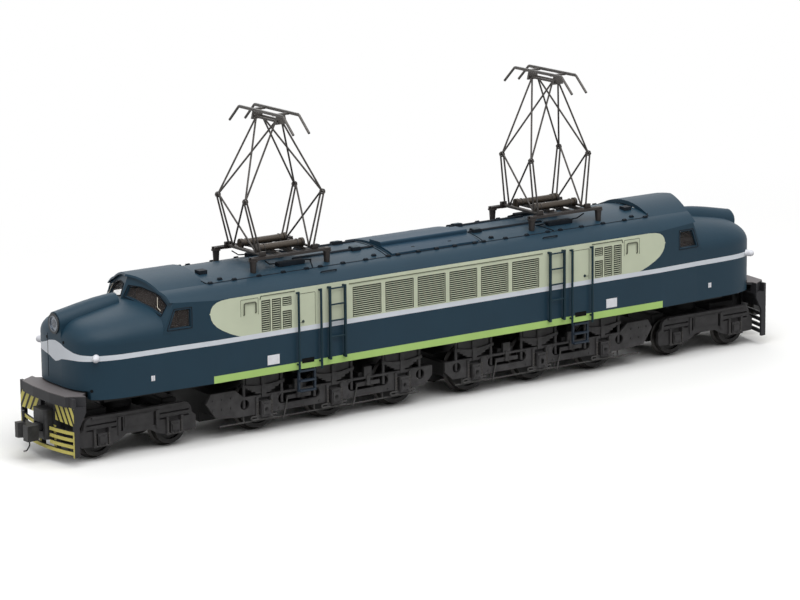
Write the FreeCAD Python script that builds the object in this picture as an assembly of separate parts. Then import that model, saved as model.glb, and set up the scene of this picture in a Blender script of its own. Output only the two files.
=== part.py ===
import FreeCAD, Part
import math
import os

V = FreeCAD.Vector

# Scale model of a double-ended 2-C+C-2 electric locomotive, 1:87, in millimetres.
# X runs along the loco, -X is end a, -Y is the side that faces the viewer, Z is up.
# Heights below are measured from the rail top; write() lifts everything by the flange
# depth, so the flanges' lowest points stand at Z = 0.

# wheels
flangeDepth = 0.9
wheelWidth = 2.8
flangeWidth = 0.7
driverDia = 13.4
guideDia = 10.5
axleDia = 2.0
hubDia = 4.4
hubProud = 0.3
webThick = 1.2
rimDepth = 1.3
backToBack = 14.4
driverInner = 13.0
driverPitch = 24.0
guideGap = 29.3
guideWheelbase = 23.5
axlePlay = 0.15
axlesX = [driverInner + k * driverPitch for k in range(3)]
guideInner = axlesX[-1] + guideGap
guideOuter = guideInner + guideWheelbase

# body
bodyWidth = 36.0
wall = 1.2
bodyBottom = 17.3
eaveZ = 41.05
seamY = 12.5
seamZ = 44.7
crownZ = 46.5
cabCrownZ = 48.0
flankBulge = 0.45
cabLength = 14.0
cabEndX = guideInner + 3.2
cabStartX = cabEndX - cabLength
cabEndY = bodyWidth / 2 - 0.8
noseStraightX = guideOuter - 9.8
noseStraightY = cabEndY - 0.4
noseFlatY = 3.3
noseTipX = guideOuter + 7.0
noseShoulderX = noseTipX - 0.5
noseShoulderY = 12.4
noseRoundness = 2.4
shoulderZ = 32.5
bonnetEndX = noseTipX - 7.3
bonnetBackZ = 41.6
bonnetFrontZ = 38.6
bonnetPower = 2.2
notchX = noseTipX - 3.3
notchTop = 19.7
screenX = cabEndX + 5.8
screenZ = 41.6
screenSweep = 0.37
screenRake = 0.39
visorReach = 0.9
visorThick = 0.6

# head lamp in its ridge along the bonnet
lampZ = 37.0
lampDia = 4.6
bezelDia = 5.7
lampDepth = 2.6
ridgeRadius = 3.3
ridgeBackX = screenX + 2.2
ridgeBackTopZ = 43.2
ridgeFootZ = 28.0

# class lamps at the nose corners, on the stripe
cornerLampAt = 0.42
cornerLampDia = 2.0
cornerLampLen = 2.6
stripeZ = 29.2
skinSeat = 0.03

# side openings
louvreCount = 6
louvreW = 9.75
louvrePitch = 11.35
louvreBottom = 30.1
louvreH = 8.6
slatPitch = 0.614
slatProud = 0.75
smallLouvreCount = 3
smallLouvreW = 2.85
smallLouvrePitch = 3.55
smallLouvreX = 55.75
smallLouvreBottom = 30.0
smallLouvreH = 8.9
smallSplit = 1.6
cabWindowX = cabEndX - 6.1
cabWindowTopX = cabEndX - 1.3
cabWindowLowX = cabEndX + 0.7
cabWindowZ = 34.7
cabWindowTopZ = 39.8
glassThick = 0.6
glassGap = 0.05

# ladders, handrails and steps
ladderX = 39.3
ladderW = 5.2
ladderBottom = 19.0
ladderTop = 40.3
ladderStandOff = 1.1
rungPitch = 4.7
barThick = 0.6
railX = ladderX + 5.6
railX2 = railX + 7.6
railDia = 0.7
rungDia = 0.5
stepX = railX + 4.2
stepW = 5.4
stepBottom = 10.6
stepPitch = 2.9
treadIn = 0.35
treadOut = 0.9

# pilots and couplers
pilotFrontX = noseTipX + 3.2
pilotHalfW = 15.0
deckBackHalf = 11.2
pilotTop = 19.1
pilotPlate = 0.8
pilotPost = 1.4
pilotSideX = noseTipX - 0.7
apronCornerX = pilotFrontX + 0.9
apronCornerY = 12.0
apronFrontX = pilotFrontX + 1.7
apronBottom = 16.0
pilotKneeX = pilotFrontX - 1.7
pilotKneeZ = 10.3
pilotKneeRise = 4.2
boardInnerY = 4.6
boardBottom = 11.0
slatZ = 2.5
pilotSlatCount = 4
pilotSlatPitch = 1.9
pilotSlatH = 1.0
pilotSlatBow = 1.6
pilotSlatThick = 0.7
draftHalfW = 3.5
draftFrontX = pilotFrontX + 2.8
draftWall = 1.1
draftBottom = 5.3
draftTop = 13.6
couplerZ = 8.6
couplerPivotX = pilotFrontX - 2.0
couplerPin = 1.2
couplerFaceX = couplerPivotX + 10.4
couplerHeadH = 4.4
couplerHeadHalfW = 3.8
shankW = 2.6
shankH = 1.8
shankPlay = 0.3

# floor and truck pivots
floorBottom = bodyBottom + 0.1
floorTop = 19.5
floorGap = 0.1
floorEndX = noseTipX - 9.8
floorEndY = 13.9
keelHalfW = 9.3
keelBottom = driverDia + 1.4
tongueHalfW = 9.0
tongueBottom = 15.4
tongueTop = 17.0
pivotDia = 5.0
pivotPlay = 0.25
pivotBottom = 11.6
runGap = 0.3

# power trucks
powerPivotX = axlesX[1]
frameY = 11.9
frameThick = 1.2
journalY = 14.4
journalHalfW = 1.55
journalTop = 8.7
hornGap = 0.45
powerInnerX = driverInner - 10.7
powerOuterX = axlesX[-1] + 19.2
powerLow = 4.9
powerTop = 10.4
powerHornTop = 12.9
hangerReach = 6.4
hangerDia = 0.9
hangerTop = 16.3
windowLow = 6.8
windowTop = 9.8
windowEnd = 1.5
leverH = 1.15
leverEnd = 2.6
springZ = 14.1
springSag = 0.9
springThick = 0.9
spineHalfW = 4.0
spineBottom = 2.9
spineTop = 11.0
bolsterDia = 10.0

# guide trucks
guideMidX = (guideInner + guideOuter) / 2
guideHalfL = guideWheelbase / 2 + 5.7
guideFrameY = 11.1
guideJournalY = 12.9
guideJournalHalfW = 1.5
guideJournalTop = 7.2
guideLow = 3.4
guideArch = 5.7
guideTop = 12.1
guidePanelHalfL = 4.9
guideSpineHalfW = 3.0
guideSpineTop = 9.0
guideBolsterDia = 9.0

# motor block
motorHalfL = axlesX[-1] + 1.0
motorHalfW = 11.0
motorTop = 35.0

# roof
hatchHalfL = 15.5
hatchHalfW = 12.2
hatchRise = 0.5
ductInY = 0.6
ductOutY = 6.3
ductTop = crownZ + hatchRise + 0.75
ventX = cabStartX - 3.5
ventY = 5.0
ventHalf = 1.3
ventTop = crownZ + 0.7

# pantographs
pantoX = 49.2
pantoBaseZ = 49.8
pantoPivot = 8.9
footX = 12.5
footY = 9.9
footTop = 48.9
footDia = 1.5
footSpread = 0.6
capDia = 2.7
capThick = 0.4
sideBarW = 0.5
sideBarY = 0.6
beamW = 1.0
beamTop = 49.6
beamInX = 2.6
beamOutX = 7.2
bearingIn = 8.75
bearingOut = 9.6
bearingHalfL = 1.0
lowerLen = 16.1
upperLen = 24.7
topPivot = 1.0
legY = 7.3
legSpread = 1.1
kneeSpread = 0.75
bracketY = 6.2
bracketThick = 0.8
rodDia = 0.55
pinDia = 0.75
pinPlay = 0.14
eyeDia = 1.7
eyeThick = 0.6
leanA = 15.0
leanB = 6.5
barX = 2.65
barRise = 2.2
barDia = 0.75
barFlatY = 11.75
hornOut = 5.0
hornDrop = 4.5
springTubeY = 4.6
springTubeZ = 50.9
springTubeDia = 2.1
springTubeHalfL = 7.8
springCapLen = 0.9


def write(node, shapes):
    shape = Part.makeCompound(shapes) if len(shapes) > 1 else shapes[0].copy()
    shape.translate(V(0, 0, flangeDepth))
    shape.exportStep("parts/" + node + ".step")


def box(x0, x1, y0, y1, z0, z1):
    return Part.makeBox(x1 - x0, y1 - y0, z1 - z0, V(x0, y0, z0))


def rod(a, b, dia):
    start = V(*a)
    run = V(*b) - start
    return Part.makeCylinder(dia / 2, run.Length, start, run)


def acrossY(x, z, y0, y1, dia):
    return rod((x, y0, z), (x, y1, z), dia)


def mirrorX(shape):
    return shape.mirror(V(0, 0, 0), V(1, 0, 0))


def mirrorY(shape):
    return shape.mirror(V(0, 0, 0), V(0, 1, 0))


def toEnd(shape, end):
    return mirrorX(shape) if end < 0 else shape


def fuse(shapes):
    joined = shapes[0].multiFuse(shapes[1:]) if len(shapes) > 1 else shapes[0]
    joined = joined.removeSplitter()
    return joined.Solids[0] if len(joined.Solids) == 1 else joined


# joins one after another, which thin crossing rods need
def chain(shapes):
    joined = shapes[0]
    for shape in shapes[1:]:
        joined = joined.fuse(shape)
    joined = joined.removeSplitter()
    return joined.Solids[0] if len(joined.Solids) == 1 else joined


def prism(points, direction):
    corners = [V(*p) for p in points]
    face = Part.Face(Part.makePolygon(corners + [corners[0]]))
    return face.extrude(V(*direction))


# an outline in X and Z, pushed out across Y between y0 and y1
def sidePlate(outline, y0, y1):
    return prism([(x, y0, z) for x, z in outline], (0, y1 - y0, 0))


# body section: flat sides, a sloped shoulder up to the bolted seam, an arched crown
def sectionFace(x, inset, crown, bottom):
    half = bodyWidth / 2 - inset
    eave = V(x, half, eaveZ - inset * 0.4)
    seam = V(x, seamY - inset * 0.5, seamZ - inset * 0.95)
    top = V(x, 0, crown - inset)
    flankMid = V(x, (eave.y + seam.y) / 2 + flankBulge, (eave.z + seam.z) / 2 + flankBulge)
    crownMid = V(x, seam.y * 0.55, seam.z + (top.z - seam.z) * 0.72)

    def flip(p):
        return V(p.x, -p.y, p.z)

    edges = [
        Part.LineSegment(V(x, half, bottom), eave).toShape(),
        Part.Arc(eave, flankMid, seam).toShape(),
        Part.Arc(seam, crownMid, top).toShape(),
        Part.Arc(top, flip(crownMid), flip(seam)).toShape(),
        Part.Arc(flip(seam), flip(flankMid), flip(eave)).toShape(),
        Part.LineSegment(flip(eave), V(x, -half, bottom)).toShape(),
        Part.LineSegment(V(x, -half, bottom), V(x, half, bottom)).toShape(),
    ]
    return Part.Face(Part.Wire(edges))


# the corner of the nose in plan, a Bezier from the side to the flat band in the middle
def noseCurve(t):
    corners = [
        (noseStraightX, noseStraightY),
        (noseShoulderX - noseRoundness, noseStraightY - 0.2),
        (noseShoulderX, noseShoulderY),
        (noseTipX, noseFlatY),
    ]
    weights = [(1 - t) ** 3, 3 * t * (1 - t) ** 2, 3 * t * t * (1 - t), t ** 3]
    x = sum(w * p[0] for w, p in zip(weights, corners))
    y = sum(w * p[1] for w, p in zip(weights, corners))
    return x, y


# plan outline of half a nose from the cab forward, moved in by the inset
def nosePlan(inset):
    dx = noseStraightX - cabEndX
    dy = noseStraightY - cabEndY
    line = [(cabEndX + dx * k / 3, cabEndY + dy * k / 3) for k in range(3)]
    pts = line + [noseCurve(k / 8) for k in range(9)]
    out = []
    for i, (x, y) in enumerate(pts):
        ax, ay = pts[max(i - 1, 0)]
        bx, by = pts[min(i + 1, len(pts) - 1)]
        run = math.hypot(bx - ax, by - ay)
        out.append((x + (by - ay) / run * inset, y - (bx - ax) / run * inset))
    out[0] = (cabEndX, cabEndY - inset)
    return out


# rounded bonnet over half a nose: each row is the outline drawn in towards the spine
def bonnetSurface(inset):
    plan = nosePlan(inset)
    tipX = plan[-1][0]
    spineEnd = bonnetEndX - inset
    steps = 8
    rows = []
    for k in range(steps + 1):
        angle = math.pi / 2 * k / steps
        inward = math.cos(angle) ** (2 / bonnetPower) if k < steps else 0.0
        upward = math.sin(angle) ** (2 / bonnetPower)
        row = []
        for x, y in plan:
            share = (x - cabEndX) / (tipX - cabEndX)
            spineX = cabEndX + (spineEnd - cabEndX) * share
            crown = bonnetBackZ + (bonnetFrontZ - bonnetBackZ) * share ** 1.6 - inset
            z = shoulderZ + (crown - shoulderZ) * upward
            row.append(V(spineX + (x - spineX) * inward, y * inward, z))
        rows.append(row)
    surface = Part.BSplineSurface()
    surface.interpolate(rows)
    return surface.toShape()


# half of the nose as a solid, from its bottom up to the bonnet
def halfNose(inset, bottom):
    bonnet = bonnetSurface(inset)

    def edgeWhere(test):
        found = [e for e in bonnet.Edges if all(test(v.Point) for v in e.Vertexes)]
        return found[0]

    sill = edgeWhere(lambda p: abs(p.z - shoulderZ) < 1e-4)
    back = edgeWhere(lambda p: abs(p.x - cabEndX) < 1e-4)
    spine = edgeWhere(lambda p: abs(p.y) < 1e-4)
    front = edgeWhere(lambda p: p.x > bonnetEndX - inset - 1e-3)
    side, tip = sorted([v.Point for v in sill.Vertexes], key=lambda p: p.x)
    spineBack, spineTip = sorted([v.Point for v in spine.Vertexes], key=lambda p: p.x)

    def foot(p):
        return V(p.x, p.y, bottom)

    def line(a, b):
        return Part.LineSegment(a, b).toShape()

    def flat(edges):
        return Part.Face(Part.Wire(Part.__sortEdges__(edges)))

    backFoot = foot(spineBack)
    tipFoot = foot(spineTip)
    sillFoot = sill.copy()
    sillFoot.translate(V(0, 0, bottom - shoulderZ))
    skin = [
        bonnet,
        sill.extrude(V(0, 0, bottom - shoulderZ)),
        flat([back, line(spineBack, backFoot), line(backFoot, foot(side)), line(foot(side), side)]),
        flat([spine, line(spineTip, tipFoot), line(tipFoot, backFoot), line(backFoot, spineBack)]),
        flat([front, line(spineTip, tipFoot), line(tipFoot, foot(tip)), line(foot(tip), tip)]),
        flat([sillFoot, line(foot(tip), tipFoot), line(tipFoot, backFoot), line(backFoot, foot(side))]),
    ]
    shell = Part.Shell(skin)
    shell.sewShape()
    solid = Part.Solid(shell)
    if solid.Volume < 0:
        solid.reverse()
    return solid


# the ridge that carries the head lamp, growing out of the bonnet towards the nose
def lampRidge():
    wires = []
    stations = [
        (noseTipX, ridgeRadius, lampZ + ridgeRadius),
        (bonnetEndX, ridgeRadius, lampZ + ridgeRadius + 1.4),
        ((bonnetEndX + ridgeBackX) / 2, ridgeRadius * 0.97, ridgeBackTopZ - 0.5),
        (ridgeBackX, ridgeRadius * 0.85, ridgeBackTopZ),
    ]
    for x, half, top in stations:
        mid = top - half
        edges = [
            Part.LineSegment(V(x, half, ridgeFootZ), V(x, half, mid)).toShape(),
            Part.Arc(V(x, half, mid), V(x, 0, top), V(x, -half, mid)).toShape(),
            Part.LineSegment(V(x, -half, mid), V(x, -half, ridgeFootZ)).toShape(),
            Part.LineSegment(V(x, -half, ridgeFootZ), V(x, half, ridgeFootZ)).toShape(),
        ]
        wires.append(Part.Wire(edges))
    return Part.makeLoft(wires, True)


# slab between two planes parallel to one pane of the swept and raked windscreen
def screenSlab(back, front):
    def planeX(z):
        return screenX - screenRake * (z - screenZ)

    low = shoulderZ - 2
    high = cabCrownZ + 3
    reach = bodyWidth / 2 + 3
    outline = [
        (planeX(low) - back, 0, low),
        (planeX(low) + front, 0, low),
        (planeX(high) + front, 0, high),
        (planeX(high) - back, 0, high),
    ]
    return prism(outline, (-screenSweep * reach, reach, 0))


def bothPanes(back, front):
    slab = screenSlab(back, front)
    return [slab, mirrorY(slab)]


# plan of the cab sides between the straight body and the nose
def cabPlan(inset, bottom):
    half = bodyWidth / 2 - inset
    end = cabEndY - inset
    outline = [
        (cabStartX, half, bottom),
        (cabEndX, end, bottom),
        (noseStraightX, end - 0.6, bottom),
        (noseStraightX, -end + 0.6, bottom),
        (cabEndX, -end, bottom),
        (cabStartX, -half, bottom),
    ]
    return prism(outline, (0, 0, cabCrownZ + 5 - bottom))


def cabBlock(inset, bottom):
    length = noseStraightX - cabStartX
    block = sectionFace(cabStartX, inset, cabCrownZ, bottom).extrude(V(length, 0, 0))
    block = block.common(cabPlan(inset, bottom))
    ahead = box(cabEndX, noseStraightX + 1, -bodyWidth, bodyWidth, bottom - 1, shoulderZ + 1)
    return block.cut([ahead] + bothPanes(inset, noseStraightX))


def visor():
    length = noseStraightX - cabStartX
    outer = sectionFace(cabStartX, 0, cabCrownZ, shoulderZ).extrude(V(length, 0, 0))
    inner = sectionFace(cabStartX, visorThick, cabCrownZ, shoulderZ - 1).extrude(V(length, 0, 0))
    lip = outer.cut(inner).common(cabPlan(0, shoulderZ))
    lip = lip.cut(box(0, noseStraightX + 1, -bodyWidth, bodyWidth, 0, eaveZ + 1.0))
    panes = bothPanes(wall, visorReach)
    return lip.common(panes[0].fuse(panes[1]))


# one end of the body, cab and nose, as a full block
def endBlock(inset, bottom):
    half = halfNose(inset, bottom)
    flatY = noseFlatY - inset
    band = box(bonnetEndX - 4, noseTipX - inset, -flatY, flatY, bottom, ridgeFootZ + 4)
    return [cabBlock(inset, bottom), half, mirrorY(half), band]


def middleBlock(inset, bottom):
    face = sectionFace(-cabStartX, inset, crownZ, bottom)
    return face.extrude(V(2 * cabStartX, 0, 0))


def louvreStarts():
    first = -(louvreCount * louvrePitch - (louvrePitch - louvreW)) / 2
    return [first + k * louvrePitch for k in range(louvreCount)]


# small grilles beside each cab: x, z and height of each opening
def smallLouvres():
    found = []
    for k in range(smallLouvreCount):
        x = smallLouvreX + k * smallLouvrePitch - smallLouvreW / 2
        if k > 0:
            found.append((x, smallLouvreBottom, smallLouvreH))
            continue
        low = smallLouvreH * 0.56
        found.append((x, smallLouvreBottom, low))
        found.append((x, smallLouvreBottom + low + smallSplit, smallLouvreH - low - smallSplit))
    return found


def allLouvres():
    found = [(x, louvreBottom, louvreW, louvreH) for x in louvreStarts()]
    for x, z, height in smallLouvres():
        found.append((x, z, smallLouvreW, height))
        found.append((-x - smallLouvreW, z, smallLouvreW, height))
    return found


# each corner: share of the half width, and share of the height from screenZ to the cab roof
def screenOpening():
    corners = [
        (0.056, 0.047), (0.206, -0.031), (0.539, -0.266), (0.806, -0.516),
        (0.844, -0.063), (0.683, 0.234), (0.578, 0.344), (0.317, 0.5), (0.083, 0.516),
    ]
    rise = cabCrownZ - screenZ
    outline = [(cabEndX - 4, y * bodyWidth / 2, screenZ + z * rise) for y, z in corners]
    hole = prism(outline, (12, 0, 0))
    return hole.common(screenSlab(wall * 2.5, 0.35))


def cabWindow(grow):
    outline = [
        (cabWindowX - grow, cabWindowZ - grow),
        (cabWindowLowX + grow, cabWindowZ - grow),
        (cabWindowTopX + grow, cabWindowTopZ + grow),
        (cabWindowX - grow, cabWindowTopZ + grow),
    ]
    return sidePlate(outline, cabEndY - 3, cabEndY + 3)


def bodyShell():
    ridge = lampRidge()
    outer = [middleBlock(0, bodyBottom)]
    inner = [middleBlock(wall, bodyBottom - 1)]
    holes = []
    for end in (-1, 1):
        outer += [toEnd(s, end) for s in endBlock(0, bodyBottom) + [ridge, visor()]]
        inner += [toEnd(s, end) for s in endBlock(wall, bodyBottom - 1)]
        lamp = rod((noseTipX - lampDepth, 0, lampZ), (noseTipX + 1, 0, lampZ), lampDia)
        notch = box(notchX, noseTipX + 1, -bodyWidth / 2, bodyWidth / 2, 0, notchTop)
        cuts = [lamp, notch]
        for hole in (screenOpening(), cabWindow(0)):
            cuts += [hole, mirrorY(hole)]
        holes += [toEnd(c, end) for c in cuts]
    for x, z, width, height in allLouvres():
        holes.append(box(x, x + width, -bodyWidth, bodyWidth, z, z + height))
    full = fuse(outer)
    hollow = fuse(inner)
    return full.cut(hollow).cut(holes).removeSplitter()


# a louvred grille is one comb-shaped profile pushed along X
def grille(x, z, width, height):
    front = bodyWidth / 2 - 0.05
    back = bodyWidth / 2 - wall
    root = front - slatProud
    count = int(round(height / slatPitch))
    pitch = height / count
    outline = [(back, z), (back, z + height), (root, z + height)]
    for k in range(count, 0, -1):
        top = z + k * pitch
        outline += [(root, top - pitch * 0.25), (front, top - pitch * 0.6), (front, top - pitch * 0.85)]
        outline.append((root, top - pitch * 0.85))
    outline.append((root, z))
    clean = [p for i, p in enumerate(outline) if p != outline[i - 1]]
    return prism([(x, -y, h) for y, h in clean], (width, 0, 0))


def glazing(end):
    inY = cabEndY - wall
    back = bodyWidth / 2 - wall
    band = [
        (cabStartX, back), (cabEndX, inY), (noseStraightX, inY - glassThick), (noseStraightX, inY),
        (cabEndX, inY + glassThick), (cabStartX, back + glassThick),
    ]
    side = cabWindow(-glassGap).common(prism([(x, y, 0) for x, y in band], (0, 0, cabCrownZ + 10)))
    front = screenOpening().common(screenSlab(2 * glassThick, -glassThick))
    panes = []
    for pane in (front, side):
        panes += [toEnd(pane, end), toEnd(mirrorY(pane), end)]
    return panes


def headLamp(end):
    lens = rod((noseTipX - lampDepth, 0, lampZ), (noseTipX + 0.1, 0, lampZ), lampDia - 2 * glassGap)
    outerRing = rod((noseTipX, 0, lampZ), (noseTipX + 0.45, 0, lampZ), bezelDia)
    opening = rod((noseTipX + 0.1, 0, lampZ), (noseTipX + 1, 0, lampZ), lampDia - 0.5)
    return toEnd(fuse([lens, outerRing]).cut(opening), end)


# class lamps, small bullet-shaped housings on the stripe at the nose corners
def cornerLamps(end):
    x, y = noseCurve(cornerLampAt)
    ax, ay = noseCurve(cornerLampAt - 0.02)
    bx, by = noseCurve(cornerLampAt + 0.02)
    outward = V(ay - by, bx - ax, 0)
    outward.normalize()
    start = V(x, y, stripeZ) + outward * skinSeat
    straight = cornerLampLen - cornerLampDia / 2
    stem = Part.makeCylinder(cornerLampDia / 2, straight, start, outward)
    cap = Part.makeSphere(cornerLampDia / 2, start + outward * straight)
    lamp = fuse([stem, cap])
    return [toEnd(lamp, end), toEnd(mirrorY(lamp), end)]


# raised hatch plate that follows the arch of the roof, with a cable duct on it
def roofHatch():
    plate = sectionFace(-hatchHalfL, -hatchRise, crownZ, eaveZ).extrude(V(2 * hatchHalfL, 0, 0))
    plate = plate.common(box(-hatchHalfL, hatchHalfL, -hatchHalfW, hatchHalfW, eaveZ, cabCrownZ))
    duct = box(-hatchHalfL, hatchHalfL, -ductOutY, -ductInY, seamZ, ductTop)
    near = [e for e in duct.Edges if all(v.Y < -ductOutY + 0.01 and v.Z > ductTop - 0.01 for v in e.Vertexes)]
    duct = duct.makeFillet(hatchRise, near)
    return fuse([plate, duct]).cut(middleBlock(0, bodyBottom))


def roofVents():
    vents = []
    for end in (-1, 1):
        vent = box(ventX - ventHalf, ventX + ventHalf, -ventY - ventHalf, -ventY + ventHalf, seamZ, ventTop)
        vents.append(toEnd(vent.cut(middleBlock(0, bodyBottom)), end))
    return vents


# floor inside the shell, with a narrower keel under it and a tongue out to each pilot
def chassis():
    half = bodyWidth / 2 - wall - floorGap
    cabHalf = cabEndY - wall - floorGap
    pieces = [
        box(-cabStartX, cabStartX, -half, half, floorBottom, floorTop),
        box(-floorEndX, floorEndX, -keelHalfW, keelHalfW, keelBottom, floorBottom + floorGap),
    ]
    for end in (-1, 1):
        right = [(cabStartX - 1, half), (cabEndX, cabHalf), (floorEndX, floorEndY)]
        plan = [(x, -y, floorBottom) for x, y in right] + [(x, y, floorBottom) for x, y in reversed(right)]
        pieces.append(toEnd(prism(plan, (0, 0, floorTop - floorBottom)), end))
        reach = pilotFrontX - pilotPost
        tongue = box(floorEndX - 1, reach, -tongueHalfW, tongueHalfW, tongueBottom, tongueTop)
        pieces.append(toEnd(tongue, end))
    return fuse(pieces)


# round pins under the keel that the trucks turn on
def truckPivots():
    pins = []
    for end in (-1, 1):
        for x in (powerPivotX, guideMidX):
            pins.append(toEnd(rod((x, 0, pivotBottom), (x, 0, keelBottom), pivotDia), end))
    return pins


def motorBlock():
    return box(-motorHalfL, motorHalfL, -motorHalfW, motorHalfW, floorTop, motorTop)


def ladder(x):
    wallY = bodyWidth / 2
    outY = wallY + ladderStandOff
    half = barThick / 2
    pieces = []
    for side in (-1, 1):
        sx = x + side * ladderW / 2
        pieces.append(box(sx - half, sx + half, outY - 0.35, outY + 0.35, ladderBottom, ladderTop))
        for z in (ladderBottom + 0.4, ladderTop - 0.4):
            pieces.append(box(sx - half, sx + half, wallY, outY, z - half, z + half))
    count = int((ladderTop - ladderBottom) / rungPitch)
    for k in range(count):
        z = ladderTop - 0.7 - k * rungPitch
        pieces.append(rod((x - ladderW / 2, outY, z), (x + ladderW / 2, outY, z), rungDia))
    return fuse(pieces)


def handrail(x):
    wallY = bodyWidth / 2
    outY = wallY + ladderStandOff
    top = ladderTop - 0.2
    pieces = [rod((x, outY, bodyBottom - 0.4), (x, outY, top), railDia)]
    for z in (bodyBottom + 1.6, top - 0.5):
        pieces.append(rod((x, wallY, z), (x, outY, z), railDia * 0.8))
    return fuse(pieces)


# stirrup steps under the door, hung from the body's bottom edge
def doorSteps(x):
    y = bodyWidth / 2 - wall / 2
    half = barThick / 2
    pieces = []
    for side in (-1, 1):
        sx = x + side * stepW / 2
        pieces.append(box(sx - half, sx + half, y - treadIn, y + treadIn, stepBottom, bodyBottom))
    for k in range(3):
        z = stepBottom + 0.25 + k * stepPitch
        tread = box(x - stepW / 2, x + stepW / 2, y - treadIn, y + treadOut, z - 0.25, z + 0.25)
        pieces.append(tread)
    return fuse(pieces)


def sideFittings(make, positions):
    found = []
    for x in positions:
        for end in (-1, 1):
            piece = toEnd(make(x), end)
            found += [piece, mirrorY(piece)]
    return found


# plan of the pilot's deck with its cut corners, moved in by the inset
def deckPlan(inset, z):
    back = notchX + runGap + inset
    right = [
        (back, deckBackHalf - inset), (pilotSideX + inset, deckBackHalf + 1.8),
        (pilotSideX + inset, pilotHalfW - inset), (apronCornerX - inset, apronCornerY - inset * 0.6),
        (apronFrontX - inset, boardInnerY),
    ]
    return [(x, -y, z) for x, y in right] + [(x, y, z) for x, y in reversed(right)]


def bothSides(y0, y1):
    return [(-y1, -y0), (y0, y1)]


def pilot(end):
    front = pilotFrontX
    foot = slatZ - 0.5
    apron = prism(deckPlan(0, apronBottom), (0, 0, pilotTop - apronBottom))
    hollow = prism(deckPlan(pilotPlate, apronBottom - 1), (0, 0, pilotTop - pilotPlate - apronBottom + 1))
    behind = box(notchX, pilotSideX, -pilotHalfW, pilotHalfW, apronBottom - 1, pilotTop - pilotPlate)
    pieces = [apron.cut([hollow, behind])]
    side = [
        (pilotSideX, apronBottom), (front, apronBottom), (front, foot), (pilotKneeX, foot),
        (pilotKneeX, pilotKneeZ), (pilotSideX, pilotKneeZ + pilotKneeRise),
    ]
    for y0, y1 in bothSides(boardInnerY, pilotHalfW):
        pieces.append(box(front - pilotPlate, front, y0, y1, boardBottom, pilotTop - pilotPlate / 2))
    for y0, y1 in bothSides(pilotHalfW - pilotPlate, pilotHalfW):
        pieces.append(sidePlate(side, y0, y1))
    for y0, y1 in bothSides(tongueHalfW + 0.1, pilotHalfW):
        pieces.append(box(pilotSideX, front, y0, y1, apronBottom - 0.5, apronBottom + 0.1))
    for y0, y1 in bothSides(draftHalfW, draftHalfW + pilotPost):
        pieces.append(box(front - pilotPost, front, y0, y1, foot, pilotTop - pilotPlate / 2))
    reach = pilotHalfW - pilotPlate / 2
    near = front - pilotSlatThick + 0.1
    far = near - pilotSlatThick
    bow = front + pilotSlatBow
    for k in range(pilotSlatCount):
        z = slatZ + k * pilotSlatPitch
        outer = Part.Arc(V(near, -reach, z), V(bow, 0, z), V(near, reach, z)).toShape()
        inner = Part.Arc(V(far, -reach, z), V(bow - pilotSlatThick, 0, z), V(far, reach, z)).toShape()
        ends = [Part.LineSegment(V(near, s * reach, z), V(far, s * reach, z)).toShape() for s in (-1, 1)]
        slat = Part.Face(Part.Wire(Part.__sortEdges__([outer, inner] + ends))).extrude(V(0, 0, pilotSlatH))
        if z + pilotSlatH > draftBottom:
            room = draftHalfW + 0.2
            slat = slat.cut(box(front - 4, draftFrontX + 1, -room, room, z - 1, z + 3))
        pieces.append(slat)
    return toEnd(fuse(pieces), end)


def draftBox(end):
    back = couplerPivotX - 2
    shape = box(back, draftFrontX, -draftHalfW, draftHalfW, draftBottom, draftTop)
    shape = shape.makeFillet(1.0, [e for e in shape.Edges if abs(e.Vertexes[0].Z - e.Vertexes[-1].Z) > 1])
    inner = draftHalfW - draftWall
    half = shankH / 2 + shankPlay
    hollow = box(back + 0.6, draftFrontX + 1, -inner, inner, couplerZ - half, couplerZ + half)
    post = box(back, couplerPivotX + 1, -inner, inner, draftTop - 0.1, tongueBottom)
    pin = rod((couplerPivotX, 0, draftBottom + 0.5), (couplerPivotX, 0, draftTop - 0.5), couplerPin)
    return toEnd(fuse([shape.cut(hollow), post, pin]), end)


def coupler(end):
    z0 = couplerZ - shankH / 2
    z1 = couplerZ + shankH / 2
    low = couplerZ - couplerHeadH * 0.68
    shank = box(couplerPivotX, couplerFaceX - 3.2, -shankW / 2, shankW / 2, z0, z1)
    boss = rod((couplerPivotX, 0, z0), (couplerPivotX, 0, z1), shankW)
    wide = couplerHeadHalfW
    face = [
        (-3.6, -wide + 0.2), (0, -wide), (0, -1.2), (-1.4, -0.8), (-1.4, 1.6),
        (-0.2, 2.2), (-0.2, wide), (-3.6, wide - 0.2),
    ]
    head = prism([(couplerFaceX + x, y, low) for x, y in face], (0, 0, couplerHeadH))
    top = low + couplerHeadH
    horn = rod((couplerFaceX - 2.4, 2.4, top - 0.5), (couplerFaceX - 2.0, 2.2, top + 3.2), 0.9)
    whole = fuse([shank, boss, head, horn])
    bore = rod((couplerPivotX, 0, z0 - 1), (couplerPivotX, 0, z1 + 1), couplerPin + 2 * pinPlay)
    return toEnd(whole.cut(bore), end)


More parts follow.
